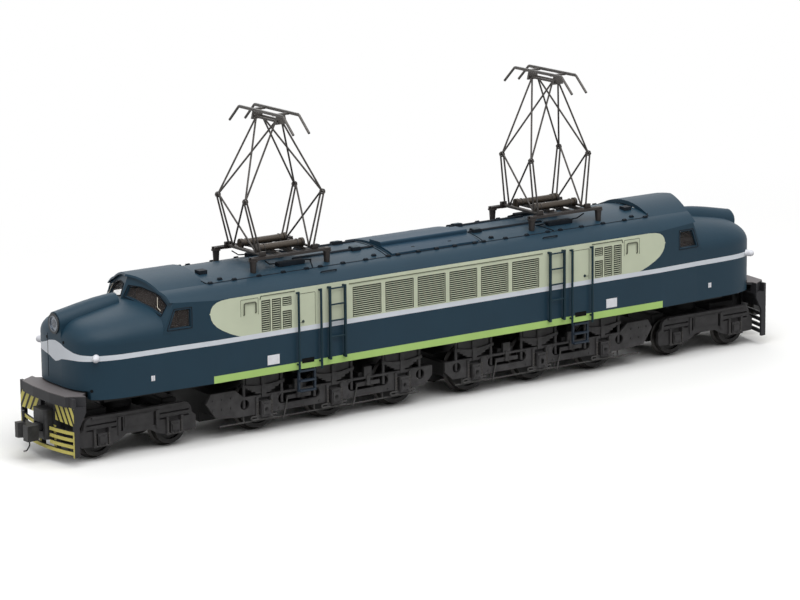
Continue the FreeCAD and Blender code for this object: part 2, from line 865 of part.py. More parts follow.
def wheelset(x, dia, halfAxle):
    r = dia / 2
    inner = backToBack / 2
    outer = inner + wheelWidth
    web = (inner + outer) / 2
    rim = r - rimDepth
    hubR = hubDia / 2
    axleR = axleDia / 2
    thin = webThick / 2
    profile = [
        (0, -halfAxle), (axleR, -halfAxle), (axleR, -outer - hubProud), (hubR, -outer - hubProud),
        (hubR, -web - thin), (rim, -web - thin), (rim, -outer), (r - 0.12, -outer),
        (r, -inner - flangeWidth), (r + flangeDepth * 0.7, -inner - flangeWidth * 0.75),
        (r + flangeDepth, -inner - flangeWidth * 0.45), (r + flangeDepth * 0.8, -inner),
        (rim, -inner), (rim, -web + thin), (hubR, -web + thin),
        (hubR, -inner + hubProud), (axleR, -inner + hubProud), (axleR, 0), (0, 0),
    ]
    corners = [V(x + a, y, r) for a, y in profile]
    face = Part.Face(Part.makePolygon(corners + [corners[0]]))
    half = face.revolve(V(x, 0, r), V(0, 1, 0), 360)
    return fuse([half, mirrorY(half)])


def axleBores(xs, dia, reach):
    return [acrossY(x, dia / 2, -reach, reach, axleDia + 2 * axlePlay) for x in xs]


# leaf spring over a journal, held at its ends by two hangers
def leafSpring(x, y0, y1):
    a = V(x - hangerReach - 0.6, y0, springZ)
    b = V(x, y0, springZ - springSag)
    c = V(x + hangerReach + 0.6, y0, springZ)
    down = V(0, 0, -springThick)
    edges = [Part.Arc(a, b, c).toShape(), Part.LineSegment(c, c + down).toShape(),
             Part.Arc(c + down, b + down, a + down).toShape(), Part.LineSegment(a + down, a).toShape()]
    return Part.Face(Part.Wire(edges)).extrude(V(0, y1 - y0, 0))


# opening with round ends, cut through or into a side frame
def roundSlot(x0, x1, z0, z1, y0, y1):
    r = (z1 - z0) / 2
    ends = [acrossY(x, z0 + r, y0, y1, 2 * r) for x in (x0, x1)]
    return fuse(ends + [box(x0, x1, y0, y1, z0, z1)]) if x1 > x0 else ends[0]


# axle box in its horn gap, with a lid, two guides and the tie bar under them
def axleBox(x, face, y0, half, low, top):
    lid = half - 0.4
    guide = half + hornGap + 0.45
    adds = [
        box(x - half, x + half, face, y0 + 0.9, low, top),
        box(x - lid, x + lid, face - 0.3, face + 0.1, low + 0.7, top - 0.8),
        box(x - guide, x + guide, y0 - 0.4, y0 + 0.3, low - 0.5, low),
    ]
    for s in (-1, 1):
        gx = x + s * guide
        adds.append(box(gx - 0.4, gx + 0.4, y0 - 0.5, y0 + 0.3, low - 0.5, top + 1.3))
    gap = half + hornGap
    return adds, box(x - gap, x + gap, y0 - 1, y0 + frameThick * 0.65, low - 2, top + 2 * hornGap)


def powerSide():
    y0 = -frameY - frameThick
    outline = [
        (powerInnerX, powerTop), (powerInnerX, powerLow + 2.6), (powerInnerX + 2.9, powerLow),
        (powerOuterX - 10.2, powerLow), (powerOuterX - 3.3, powerLow + 0.7), (powerOuterX, powerTop - 0.1),
        (powerOuterX - 1.6, powerHornTop), (powerOuterX - 9.6, powerHornTop), (powerOuterX - 12.6, powerTop),
    ]
    adds = []
    cuts = []
    for x in axlesX:
        for s in (-1, 1):
            hx = x + s * hangerReach
            adds.append(rod((hx, y0 + 0.55, windowLow + 0.4), (hx, y0 + 0.55, hangerTop), hangerDia))
        adds.append(leafSpring(x, y0 - 0.1, y0 + 1.3))
        adds.append(box(x - 0.75, x + 0.75, y0 - 0.3, y0 + 1.3, powerTop - 0.6, springZ - 0.6))
        boxes, gap = axleBox(x, -journalY, y0, journalHalfW, powerLow - 0.7, journalTop)
        adds += boxes
        cuts.append(gap)
    for x in (axlesX[0] - hangerReach, axlesX[-1] + hangerReach):
        cuts.append(roundSlot(x, x, windowLow, windowTop, y0 - 1, -frameY + 1))
    leverLow = (windowLow + windowTop - leverH) / 2
    for a, b in zip(axlesX[:-1], axlesX[1:]):
        x0 = a + hangerReach
        x1 = b - hangerReach
        mid = (x0 + x1) / 2
        cuts.append(roundSlot(x0, x1, windowLow, windowTop, y0 - 1, -frameY + 1))
        adds.append(box(x0 + windowEnd, x1 - windowEnd, y0 + 0.1, y0 + 0.8, leverLow, leverLow + leverH))
        adds.append(box(mid - 0.65, mid + 0.65, y0 - 0.2, y0 + 0.9, leverLow, powerTop + 0.3))
        stop = leverEnd / 2
        adds.append(box(mid - stop, mid + stop, y0 + 0.1, y0 + 1.1, powerTop - 0.1, springZ - 0.8))
    return fuse([sidePlate(outline, y0, -frameY).cut(cuts)] + adds)


def truckBore(x):
    return rod((x, 0, pivotBottom - runGap), (x, 0, keelBottom + 1), pivotDia + 2 * pivotPlay)


def powerTruck(end):
    side = powerSide()
    half = frameY + 0.2
    pieces = [side, mirrorY(side)]
    members = [
        (powerInnerX + 0.1, powerInnerX + 2.3, powerLow + 1.1, powerTop - 0.4),
        (powerOuterX - 9.7, powerOuterX - 2.7, powerLow + 1.3, powerHornTop - 0.7),
    ]
    for a, b in zip(axlesX[:-1], axlesX[1:]):
        mid = (a + b) / 2
        members.append((mid - 2.8, mid + 2.8, windowTop + 0.4, powerTop + 1.2))
        members.append((mid - 2.8, mid + 2.8, powerLow + 0.5, windowLow - 0.4))
    for x0, x1, z0, z1 in members:
        pieces.append(box(x0, x1, -half, half, z0, z1))
    pieces.append(box(powerInnerX + 1.7, powerOuterX - 3.2, -spineHalfW, spineHalfW, spineBottom, spineTop))
    pieces.append(rod((powerPivotX, 0, spineTop - 0.1), (powerPivotX, 0, keelBottom - runGap), bolsterDia))
    bores = axleBores(axlesX, driverDia, journalY - 0.5) + [truckBore(powerPivotX)]
    return toEnd(fuse(pieces).cut(bores), end)


# one side of a guide truck: rounded ends, sunk slots, a lip along the top
def guideSide():
    y0 = -guideFrameY - frameThick
    end = guideHalfL
    half = [
        (3.9, guideArch), (end - 11.3, guideLow + 0.9), (end - 7.9, guideLow), (end + 0.9, guideLow + 0.3),
        (end + 1.3, guideLow + 1.1), (end + 1.3, guideArch + 2.1), (end + 0.1, guideArch + 3.1),
        (end - 0.2, guideTop - 1.6), (end - 0.9, guideTop - 0.6), (end - 2.4, guideTop),
    ]
    outline = [(guideMidX + x, z) for x, z in half] + [(guideMidX - x, z) for x, z in reversed(half)]
    sink = y0 + frameThick * 0.65
    panel = guidePanelHalfL
    lip = end - 2.5
    inset = panel - 0.5
    adds = [
        box(guideMidX - lip, guideMidX + lip, y0 - 0.35, y0 + 0.3, guideTop - 0.75, guideTop),
        box(guideMidX - inset, guideMidX + inset, y0 - 0.2, y0 + 0.3, guideArch + 2, guideTop - 1.3),
    ]
    cuts = []
    for s in (-1, 1):
        x0, x1 = sorted((guideMidX + s * panel, guideMidX + s * (panel + 0.8)))
        cuts.append(box(x0, x1, y0 - 1, sink, guideArch + 1.0, guideTop - 1.4))
        x0, x1 = sorted((guideMidX + s * (panel + 0.8), guideMidX + s * (panel + 1.7)))
        adds.append(box(x0, x1, y0 - 0.3, y0 + 0.3, guideArch, guideTop - 1.1))
        x0, x1 = sorted((guideMidX + s * (panel + 2.1), guideMidX + s * (end - 0.9)))
        for z in (guideTop - 2.6, guideTop - 4.1):
            cuts.append(box(x0, x1, y0 - 1, sink, z, z + 0.5))
    for x in (guideInner, guideOuter):
        boxes, gap = axleBox(x, -guideJournalY, y0, guideJournalHalfW, guideLow + 0.4, guideJournalTop)
        adds += boxes
        cuts.append(gap)
    return fuse([sidePlate(outline, y0, -guideFrameY).cut(cuts)] + adds)


def guideTruck(end):
    side = guideSide()
    half = guideFrameY + 0.2
    pieces = [side, mirrorY(side)]
    pieces.append(box(guideMidX - 3.8, guideMidX + 3.8, -half, half, guideArch + 0.5, guideTop - 0.7))
    spine = guideSpineHalfW
    pieces.append(box(guideInner - 4.3, guideOuter + 3.7, -spine, spine, guideLow - 0.4, guideSpineTop))
    pieces.append(rod((guideMidX, 0, guideTop - 0.8), (guideMidX, 0, keelBottom - runGap), guideBolsterDia))
    bores = axleBores((guideInner, guideOuter), guideDia, guideJournalY - 0.4) + [truckBore(guideMidX)]
    return toEnd(fuse(pieces).cut(bores), end)


# where the joints of one pantograph are, on its side towards +X or -X
def linkage(xc, lean, side):
    a = math.radians(lean)
    pivot = V(xc + side * pantoPivot, 0, pantoBaseZ)
    knee = pivot + V(side * lowerLen * math.sin(a), 0, lowerLen * math.cos(a))
    run = abs(knee.x - xc) - topPivot
    top = V(xc + side * topPivot, 0, knee.z + math.sqrt(upperLen ** 2 - run ** 2))
    return pivot, knee, top


def atY(p, y):
    return (p.x, y, p.z)


# base frame on four insulators: twin side bars, cross beams, bearings and spring tubes
def pantographBase(xc):
    pieces = []
    low = footTop - 0.1
    roof = middleBlock(0, bodyBottom)
    for sy in (-1, 1):
        for sx in (-1, 1):
            x, y = xc + sx * footX, sy * footY
            root = seamZ - 0.5
            foot = Part.makeCone(footDia / 2, footDia / 2 + footSpread / 2, footTop - root, V(x, y, root))
            pieces.append(foot.cut(roof))
            pieces.append(rod((x, y, footTop - capThick), (x, y, footTop), capDia))
            bx = xc + sx * pantoPivot
            y0, y1 = sorted((sy * bearingIn, sy * bearingOut))
            pieces.append(box(bx - bearingHalfL, bx + bearingHalfL, y0, y1, low, pantoBaseZ + 1.0))
            cap = xc + sx * (springTubeHalfL - springCapLen)
            tip = xc + sx * springTubeHalfL
            tubeY = sy * springTubeY
            pieces.append(rod((cap, tubeY, springTubeZ), (tip, tubeY, springTubeZ), springTubeDia + 0.5))
        for side in (-1, 1):
            y = sy * footY + side * sideBarY
            half = sideBarW / 2
            pieces.append(box(xc - footX - 0.9, xc + footX + 0.9, y - half, y + half, low, beamTop))
        start = (xc - springTubeHalfL, sy * springTubeY, springTubeZ)
        pieces.append(rod(start, (xc + springTubeHalfL, sy * springTubeY, springTubeZ), springTubeDia))
    for x in (-footX, footX):
        for sy in (-1, 1):
            y0, y1 = sorted((sy * (footY - sideBarY - 0.1), sy * (footY + sideBarY + 0.1)))
            pieces.append(box(xc + x - 0.5, xc + x + 0.5, y0, y1, low, beamTop))
    for x in (-beamOutX, -beamInX, beamInX, beamOutX):
        half = beamW / 2
        pieces.append(box(xc + x - half, xc + x + half, -footY, footY, low, beamTop))
        for sy in (-1, 1):
            y = sy * springTubeY
            pieces.append(box(xc + x - half, xc + x + half, y - 0.5, y + 0.5, low, springTubeZ))
    reach = bearingOut - 0.25
    bores = [acrossY(xc + s * pantoPivot, pantoBaseZ, -reach, reach, pinDia + 2 * pinPlay) for s in (-1, 1)]
    return fuse(pieces).cut(bores)


def lowerArm(xc, lean, side):
    pivot, knee, top = linkage(xc, lean, side)
    shaft = bearingOut - 0.4
    pieces = [acrossY(pivot.x, pivot.z, -shaft, shaft, pinDia)]
    for sy in (-1, 1):
        pinHalf = kneeSpread + 0.3
        pieces.append(acrossY(knee.x, knee.z, sy * legY - pinHalf, sy * legY + pinHalf, pinDia))
        for spread in (-1, 1):
            foot = atY(pivot, sy * legY + spread * legSpread)
            pieces.append(rod(foot, atY(knee, sy * legY + spread * kneeSpread), rodDia))
        pieces.append(rod(atY(pivot, -sy * (legY - legSpread)), atY(knee, sy * (legY - kneeSpread)), rodDia))
    return chain(pieces)


def upperArm(xc, lean, side):
    pivot, knee, top = linkage(xc, lean, side)
    shaftHalf = bracketY + 0.7 if side < 0 else bracketY - bracketThick / 2 - runGap
    pieces = [acrossY(top.x, top.z, -shaftHalf, shaftHalf, pinDia)]
    for sy in (-1, 1):
        pieces.append(acrossY(knee.x, knee.z, sy * legY - eyeThick / 2, sy * legY + eyeThick / 2, eyeDia))
        start = V(*atY(knee, sy * legY))
        for target in (sy, -sy):
            goal = V(*atY(top, target * (bracketY - 1.1)))
            lead = goal - start
            lead.normalize()
            begin = start + lead * (pinDia / 2 + pinPlay + 0.12)
            pieces.append(rod(tuple(begin), tuple(goal), rodDia))
    whole = chain(pieces)
    return whole.cut([acrossY(knee.x, knee.z, -legY - 1, legY + 1, pinDia + 2 * pinPlay)])


# collector head: two bars with drooping horns on a bracket at each side
def collector(xc, lean):
    pivot, knee, top = linkage(xc, lean, -1)
    z = top.z + barRise
    tipY = barFlatY + hornOut
    pieces = []
    for sx in (-1, 1):
        x = xc + sx * barX
        pieces.append(rod((x, -barFlatY, z), (x, barFlatY, z), barDia))
        for sy in (-1, 1):
            pieces.append(Part.makeSphere(barDia / 2, V(x, sy * barFlatY, z)))
            pieces.append(rod((x, sy * barFlatY, z), (x, sy * tipY, z - hornDrop), barDia))
    for sy in (-1, 1):
        y0, y1 = sorted((sy * (bracketY - bracketThick / 2), sy * (bracketY + bracketThick / 2)))
        pieces.append(box(xc - barX, xc + barX, y0, y1, z - 0.5, z + 0.1))
        low = top.z - 0.8
        pieces.append(sidePlate([(xc - 1.9, low), (xc + 1.9, low), (xc + 1.2, z), (xc - 1.2, z)], y0, y1))
    whole = fuse(pieces)
    return whole.cut([acrossY(top.x, top.z, -bracketY - 1, bracketY + 1, pinDia + 2 * pinPlay)])


def main():
    os.makedirs("parts", exist_ok=True)
    shell = bodyShell()
    write("body_shell", [shell])
    near = [grille(*spec) for spec in allLouvres()]
    write("louvre_grilles", near + [mirrorY(g) for g in near])
    write("corner_lamps", cornerLamps(-1) + cornerLamps(1))
    write("roof_hatch", [roofHatch()])
    write("roof_vents", roofVents())
    write("chassis_frame", [chassis()])
    write("truck_pivots", truckPivots())
    write("motor_block", [motorBlock()])
    write("side_ladders", sideFittings(ladder, [ladderX]))
    write("door_handrails", sideFittings(handrail, [railX, railX2]))
    write("door_steps", sideFittings(doorSteps, [stepX]))
    for name, end, lean in (("a", -1, leanA), ("b", 1, leanB)):
        write("cab_glazing_" + name, glazing(end))
        write("head_lamp_" + name, [headLamp(end)])
        write("pilot_" + name, [pilot(end)])
        write("draft_box_" + name, [draftBox(end)])
        write("coupler_" + name, [coupler(end)])
        write("power_truck_" + name, [powerTruck(end)])
        write("guide_truck_" + name, [guideTruck(end)])
        for k, x in enumerate(axlesX):
            write("driver_" + name + str(k + 1), [wheelset(end * x, driverDia, journalY - 1.0)])
        for k, x in enumerate((guideInner, guideOuter)):
            write("guide_wheels_" + name + str(k + 1), [wheelset(end * x, guideDia, guideJournalY - 0.9)])
        xc = end * pantoX
        write("pantograph_base_" + name, [pantographBase(xc)])
        for side in (-1, 1):
            part = name + ("_outer" if side == end else "_inner")
            write("lower_arm_" + part, [lowerArm(xc, lean, side)])
            write("upper_arm_" + part, [upperArm(xc, lean, side)])
        write("collector_" + name, [collector(xc, lean)])


main()
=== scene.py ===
import math
import bmesh
import bpy
from mathutils import Matrix, Vector
from mathutils.bvhtree import BVHTree


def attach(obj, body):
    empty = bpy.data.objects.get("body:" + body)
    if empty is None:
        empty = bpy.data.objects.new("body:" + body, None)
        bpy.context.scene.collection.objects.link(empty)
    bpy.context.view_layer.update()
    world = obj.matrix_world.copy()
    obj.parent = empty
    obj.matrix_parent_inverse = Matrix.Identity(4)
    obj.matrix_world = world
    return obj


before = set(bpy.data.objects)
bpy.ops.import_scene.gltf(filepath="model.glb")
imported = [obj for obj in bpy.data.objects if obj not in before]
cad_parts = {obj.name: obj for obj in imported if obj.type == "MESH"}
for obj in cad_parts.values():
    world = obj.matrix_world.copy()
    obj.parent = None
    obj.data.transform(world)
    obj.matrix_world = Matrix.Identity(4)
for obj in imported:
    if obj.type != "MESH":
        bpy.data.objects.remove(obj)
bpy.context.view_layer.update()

flangeDepth = 0.9  # mm, the rail top above the row's origin
ends, flanks = (("a", -1), ("b", 1)), (-1, 1)
corners = [(sign, side) for _, sign in ends for side in flanks]
drivers, guides = (13.0, 37.0, 61.0), (90.3, 113.8)  # mm, where the axles are
down = (0, 0, -1)
print("frame in place:", len(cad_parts), "nodes")


# sizes are written in mm, heights from the rail top
def at(x, y, z):
    return Vector((x, y, z + flangeDepth)) * 0.001


def toLinear(hexText):
    channels = [int(hexText[k:k + 2], 16) / 255 for k in (1, 3, 5)]
    return [c / 12.92 if c <= 0.04045 else ((c + 0.055) / 1.055) ** 2.4 for c in channels] + [1.0]


# adds a node: values, hex colours and links fill its open sockets in order, or by name from one dictionary;
# a node given as a value is linked from its first open output
def add(tree, kind, *given, **settings):
    made = tree.nodes.new(kind if "Node" in kind else "ShaderNode" + kind)
    for name, value in settings.items():
        setattr(made, name, value)
    if given and isinstance(given[0], dict):
        pairs = [(made.inputs[name], value) for name, value in given[0].items()]
    else:
        pairs = zip([socket for socket in made.inputs if socket.enabled], given)
    for socket, value in pairs:
        if isinstance(value, bpy.types.Node):
            value = next(output for output in value.outputs if output.enabled)
        if isinstance(value, bpy.types.NodeSocket):
            tree.links.new(value, socket)
        else:
            socket.default_value = toLinear(value) if str(value).startswith("#") else value
    return made


paints = {}


# a new material, kept under a short key: its tree, and its object coordinates in mm with z from the rail top
def newMaterial(key, name):
    material = paints[key] = bpy.data.materials.new(name)
    material.use_nodes = True
    tree = material.node_tree
    tree.nodes.clear()
    place = add(tree, "TexCoord").outputs["Object"]
    place = add(tree, "VectorMath", place, (1000, 1000, 1000), operation="MULTIPLY")
    return tree, add(tree, "VectorMath", place, (0, 0, -flangeDepth), operation="ADD")


# places along, across and up as three values, the first two counted from the loco's middle
def threeWays(tree, place):
    split = add(tree, "SeparateXYZ", place)
    along, across = (add(tree, "Math", split.outputs[k], operation="ABSOLUTE") for k in (0, 1))
    return along, across, split.outputs[2]


# masks are 1 where they hold, else 0: a value between two limits, and several masks at once
def band(tree, value, low, high):
    above = add(tree, "Math", value, low, operation="GREATER_THAN")
    return allOf(tree, above, add(tree, "Math", value, high, operation="LESS_THAN"))


def allOf(tree, mask, *others):
    for other in others:
        mask = add(tree, "Math", mask, other, operation="MULTIPLY")
    return mask


# a colour with others laid over it, each where its mask is 1
def overlay(tree, colour, *layers):
    for mask, paint in layers:
        colour = add(tree, "Mix", mask, colour, paint, data_type="RGBA")
    return colour


# two tones of a colour in soft clouds
def mottled(tree, place, dark, light, cloud):
    clouds = add(tree, "TexNoise", place, 1 / cloud, 4.0)
    return overlay(tree, dark, (add(tree, "MapRange", clouds, 0.32, 0.68), light))


# closes a material: one roughness, or two that a pattern goes between, and a fine bump with its depth in mm
def coat(tree, colour, pattern, rough, sockets, height=None, bump=0.0, depth=0.05):
    if pattern:
        rough = add(tree, "MapRange", pattern, 0.0, 1.0, *rough)
    sockets = {"Base Color": colour, "Roughness": rough, **sockets}
    if height:
        sockets["Normal"] = add(tree, "Bump", {"Height": height, "Strength": bump, "Distance": depth / 1000})
    add(tree, "OutputMaterial", add(tree, "BsdfPrincipled", sockets))


# plain paints and metals: name, dark and light tone, roughness, bump, cloud and grain in mm, metallic, gloss
plainFinishes = {
    # sprayed and cast paints: satin on the body, powdery and almost without a highlight below it
    "roof": ("satin_sprayed_roof_paint", "#1a3445", "#1d384a", 0.48, 0.12, 10.0, 0.4, 0.0, 0.2),
    "truck": ("matt_painted_zinc_casting", "#302f30", "#3d3c3d", 0.62, 0.3, 3.0, 0.35),
    "chassis": ("blackened_zinc_frame", "#0d0d0e", "#141415", 0.65, 0.25, 6.0, 0.4),
    "rail": ("sprayed_steel_wire_blue", "#10262f", "#142d38", 0.5, 0.1, 5.0, 0.3, 0.0, 0.2),
    "step": ("matt_painted_step_steel", "#17222e", "#1e2a37", 0.55, 0.2, 3.0, 0.3),
    "vent": ("matt_black_moulded_vent", "#10151b", "#1a2129", 0.6, 0.2, 2.0, 0.2, 0.0, 0.15),
    "iron": ("olive_grey_painted_wire", "#4a4d40", "#595c4c", 0.5, 0.1, 2.0, 0.2),
    "rod": ("matt_grey_painted_brake_wire", "#3d3c3c", "#484746", 0.55, 0.15, 1.5, 0.2),
    "cab": ("brown_moulded_cab_interior", "#2e2725", "#3b3330", 0.65, 0.05, 2.0, 0.6, 0.0, 0.15),
    # blackened steels: dark with a dull broken glint, the bows under the contact strips rubbed a little brighter
    "pantograph": ("chemically_blacked_steel_rod", "#373432", "#4d4946", 0.45, 0.15, 1.5, 0.2, 0.35),
    "bow": ("rubbed_bow_steel", "#464341", "#595653", 0.42, 0.15, 1.5, 0.2, 0.3),
    "coupler": ("blackened_coupler_casting", "#262627", "#353536", 0.5, 0.3, 1.5, 0.25, 0.3),
    "spring": ("dulled_spring_steel", "#4a4846", "#5c5956", 0.42, 0.1, 1.0, 0.15, 0.6),
    "wiper": ("bare_etched_wiper_metal", "#b8b1a1", "#ccc6b8", 0.35, 0.05, 1.0, 0.2, 0.5),
    "carbon": ("graphite_contact_strip", "#555352", "#646260", 0.4, 0.2, 1.0, 0.1),
    # clean whites, and the blacks that the eye takes for rubber or for a washed groove; black also draws joint lines
    # and is painted as the shade in holes and recesses
    "lamp": ("white_painted_marker_lamp", "#dcdde4", "#e8e9ee", 0.55, 0.05, 1.0, 0.2, 0.0, 0.15),
    "plate": ("white_pad_printed_plate", "#e4e4e9", "#f0f0f5", 0.45, 0.05, 1.5, 0.2),
    "rubber": ("black_rubber_seam_bead", "#0b1118", "#141c24", 0.7, 0.15, 3.0, 0.2, 0.0, 0.15),
    "groove": ("dark_wash_in_a_panel_groove", "#4c5044", "#5c614d", 0.6, 0.05, 3.0, 0.2),
    # black rims round each grille: a painted shadow along the openings' edges
    "slot": ("black_painted_shadow_round_a_grille", "#262820", "#32342a", 0.6, 0.05, 3.0, 0.2, 0.0, 0.15),
    # black for the nose's joint lines, and painted shade in the pipe sockets and the door step recesses
    "hole": ("black_in_a_deep_opening", "#0a0a0b", "#101011", 0.8, 0.1, 2.0, 0.3, 0.0, 0.1),
}
roughSpread = 0.07


def finish(key, name, dark, light, rough, bump, cloud, grain, metal=0.0, gloss=0.35):
    tree, place = newMaterial(key, name)
    grains = add(tree, "TexNoise", place, 1 / grain, 2.0)
    coat(tree, mottled(tree, place, dark, light, cloud), grains, (rough - roughSpread, rough + roughSpread),
         {"Metallic": metal, "Specular IOR Level": gloss}, grains, bump)


for key, row in plainFinishes.items():
    finish(key, *row)

# satin sprayed paint over a moulded shell: soft sheen, colours with the sharp edges of pad printing
liveryLook = {
    "blue": "#193342", "sage": "#cdd4bb", "lime": "#b1d37c", "stripe": "#dbe0e7", "rough": (0.43, 0.53), "gloss": 0.23,
    "limeZ": (17.0, 19.4), "limeEnd": 80.4, "sideY": (17.5, 19.0), "cloud": 12.5, "peel": 0.4, "bump": 0.12,
    # the stripe widens to a pointed shield in the middle of the nose: distance from the middle, low edge, high edge
    "shield": ((0.0, 26.4, 32.3), (1.6, 26.8, 32.1), (3.3, 27.5, 31.8), (4.7, 27.7, 31.2), (6.5, 27.85, 30.7),
               (8.6, 27.95, 30.1), (10.9, 28.0, 29.8), (14.5, 28.2, 29.7), (18.5, 28.3, 29.7)),
    # the pale side panel's rounded end: distance from the loco's middle, low edge, high edge
    "panel": ((68.0, 29.0, 41.0), (72.2, 29.9, 41.0), (74.6, 30.8, 41.0), (77.4, 32.2, 40.8), (79.2, 33.4, 40.35),
              (80.3, 34.6, 39.6), (80.9, 35.7, 38.7), (81.2, 37.1, 37.5), (81.5, 37.3, 37.3)),
}


# a curve that reads a distance in mm and gives a height in mm
def edgeCurve(tree, value, table, column, low=15.0, high=45.0):
    first, last = table[0][0], table[-1][0]
    curve = add(tree, "FloatCurve", {"Value": add(tree, "MapRange", value, first, last)})
    line = curve.mapping.curves[0]
    for k, row in enumerate(table):
        spot = ((row[0] - first) / (last - first), (row[column] - low) / (high - low))
        if k in (0, len(table) - 1):
            line.points[0 if k == 0 else -1].location = spot
        else:
            line.points.new(*spot)
    for point in line.points:
        point.handle_type = "VECTOR"
    curve.mapping.update()
    return add(tree, "MapRange", curve, 0.0, 1.0, low, high)


def paintLivery():
    tree, place = newMaterial("livery", "satin_sprayed_livery_paint")
    look = liveryLook
    along, across, height = threeWays(tree, place)
    panel, stripe = (band(tree, height, *(edgeCurve(tree, reach, look[name], column) for column in (1, 2)))
                     for reach, name in ((along, "panel"), (across, "shield")))
    panel = allOf(tree, panel, band(tree, across, *look["sideY"]))
    lime = allOf(tree, band(tree, height, *look["limeZ"]),
                 add(tree, "Math", along, look["limeEnd"], operation="LESS_THAN"))
    colour = overlay(tree, look["blue"], (panel, look["sage"]), (stripe, look["stripe"]), (lime, look["lime"]))
    cloud = add(tree, "TexNoise", place, 1 / look["cloud"], 3.0)
    tone = add(tree, "MapRange", cloud, 0.3, 0.7, 0.95, 1.05)
    peel = add(tree, "TexNoise", place, 1 / look["peel"], 2.0)
    coat(tree, add(tree, "VectorMath", colour, tone, operation="SCALE"), peel, look["rough"],
         {"Specular IOR Level": look["gloss"]}, peel, look["bump"], 0.04)


# pilot: matt black-grey casting with printed hazard boards and yellow slats; its deck top is painted a lighter grey, a
# painted highlight
pilotLook = {"grey": "#29292c", "litDeck": "#656162", "yellow": "#d6cb70", "black": "#1a170f", "boardZ": (11.0, 16.0),
             "boardY": (4.6, 14.95), "stripePitch": 2.7, "stripeShare": 0.6, "stripeLean": 0.66, "slatZ": (0.0, 9.4),
             "slatY": (-1.0, 14.95), "frontFrom": 123.0, "slatsFrom": 121.4, "deckFrom": 18.9, "faceLimit": 30.0,
             "rough": (0.5, 0.7), "gloss": 0.3, "bump": 0.25}


def paintPilot():
    tree, place = newMaterial("pilot", "matt_cast_pilot_with_printed_stripes")
    look = pilotLook
    along, across, height = threeWays(tree, place)
    # the printing is on the faces that look outwards along the loco, not on their backs
    facing = add(tree, "TexCoord").outputs["Normal"]
    outwards = add(tree, "SeparateXYZ", add(tree, "VectorMath", facing, place, operation="MULTIPLY"))
    printed, front, forward, deck = (
        add(tree, "Math", value, look[limit], operation="GREATER_THAN") for value, limit in
        ((outwards, "faceLimit"), (along, "frontFrom"), (along, "slatsFrom"), (height, "deckFrom")))
    board = allOf(tree, band(tree, height, *look["boardZ"]), band(tree, across, *look["boardY"]), front, printed)
    slats = allOf(tree, band(tree, height, *look["slatZ"]), band(tree, across, *look["slatY"]), forward, printed)
    slant = add(tree, "Math", height, look["stripeLean"], across, operation="MULTIPLY_ADD")
    wave = add(tree, "Math", slant, look["stripePitch"], operation="FLOORED_MODULO")
    gap = look["stripePitch"] * (1 - look["stripeShare"])
    hazard = overlay(tree, look["black"], (add(tree, "Math", wave, gap, operation="GREATER_THAN"), look["yellow"]))
    colour = overlay(tree, look["grey"], (deck, look["litDeck"]), (slats, look["yellow"]), (board, hazard))
    grain = add(tree, "TexNoise", place, 3.0, 3.0)
    coat(tree, colour, grain, look["rough"], {"Specular IOR Level": look["gloss"]}, grain, look["bump"])


# chemically blackened turned steel: faint lathe rings about each axle, a running tread worn a little lighter
wheelLook = {"black": "#121111", "tread": "#2a2826", "metal": 0.45, "rough": (0.55, 0.38), "treadBand": (0.35, 0.1),
             "ringsPerMm": 14.0, "bump": 0.1}


def turnWheels(key, name, axles, treadRadius):
    tree, place = newMaterial(key, name)
    look = wheelLook
    along, _, height = threeWays(tree, place)
    radius = None
    for x in axles:
        reach = add(tree, "Math", along, x, operation="SUBTRACT")
        rise = add(tree, "Math", height, treadRadius, operation="SUBTRACT")
        here = add(tree, "VectorMath", add(tree, "CombineXYZ", reach, rise), operation="LENGTH")
        radius = add(tree, "Math", radius, here, operation="MINIMUM") if radius else here
    tread = add(tree, "MapRange", radius, *(treadRadius - inwards for inwards in look["treadBand"]))
    rings = add(tree, "Math", radius, look["ringsPerMm"], operation="MULTIPLY")
    coat(tree, overlay(tree, look["black"], (tread, look["tread"])), tread, look["rough"], {"Metallic": look["metal"]},
         add(tree, "Math", rings, operation="SINE"), look["bump"], 0.04)


# louvre slats take the panel's paint on their edges, and deeper in, the slots between them are painted near black, a
# painted shade
louvreLook = {"slat": "#cdd4bb", "slotShade": "#0e0f0a", "slotShadeTo": 17.8, "slatFrom": 17.96, "edgeNoise": 0.12,
              "rough": (0.45, 0.6), "gloss": 0.3}


def paintLouvres():
    tree, place = newMaterial("louvre", "louvre_paint_with_painted_slot_shade")
    look = louvreLook
    across = threeWays(tree, place)[1]
    edgeNoise = add(tree, "TexNoise", place, 1.2, 2.0)
    depth = add(tree, "Math", edgeNoise, look["edgeNoise"], across, operation="MULTIPLY_ADD")
    # deeper into the slots the slat paint goes over to near black: a painted shade, its edge made uneven by noise
    share = add(tree, "MapRange", depth, look["slotShadeTo"], look["slatFrom"])
    coat(tree, overlay(tree, look["slotShade"], (share, look["slat"])), edgeNoise, look["rough"],
         {"Specular IOR Level": look["gloss"]})


# the truck paint on the side frames: their outer faces keep the grey paint, and behind them it is painted nearly
# black, a painted shade
frameLook = {"deep": "#0c0c0d", "cloud": 3.0, "grain": 0.35, "rough": (0.55, 0.7), "gloss": 0.3, "bump": 0.3,
             "power": ("powerFrame", "matt_power_truck_casting_shaded_behind", "#323132", "#454445", (12.0, 12.8)),
             # the guide trucks' grey is a darker copy of the power trucks', a painted shade for their place under the
             # cab and pilot
             "guide": ("guideFrame", "darker_matt_guide_truck_casting_shaded_behind", "#282728", "#363536", (10.0, 10.9))}


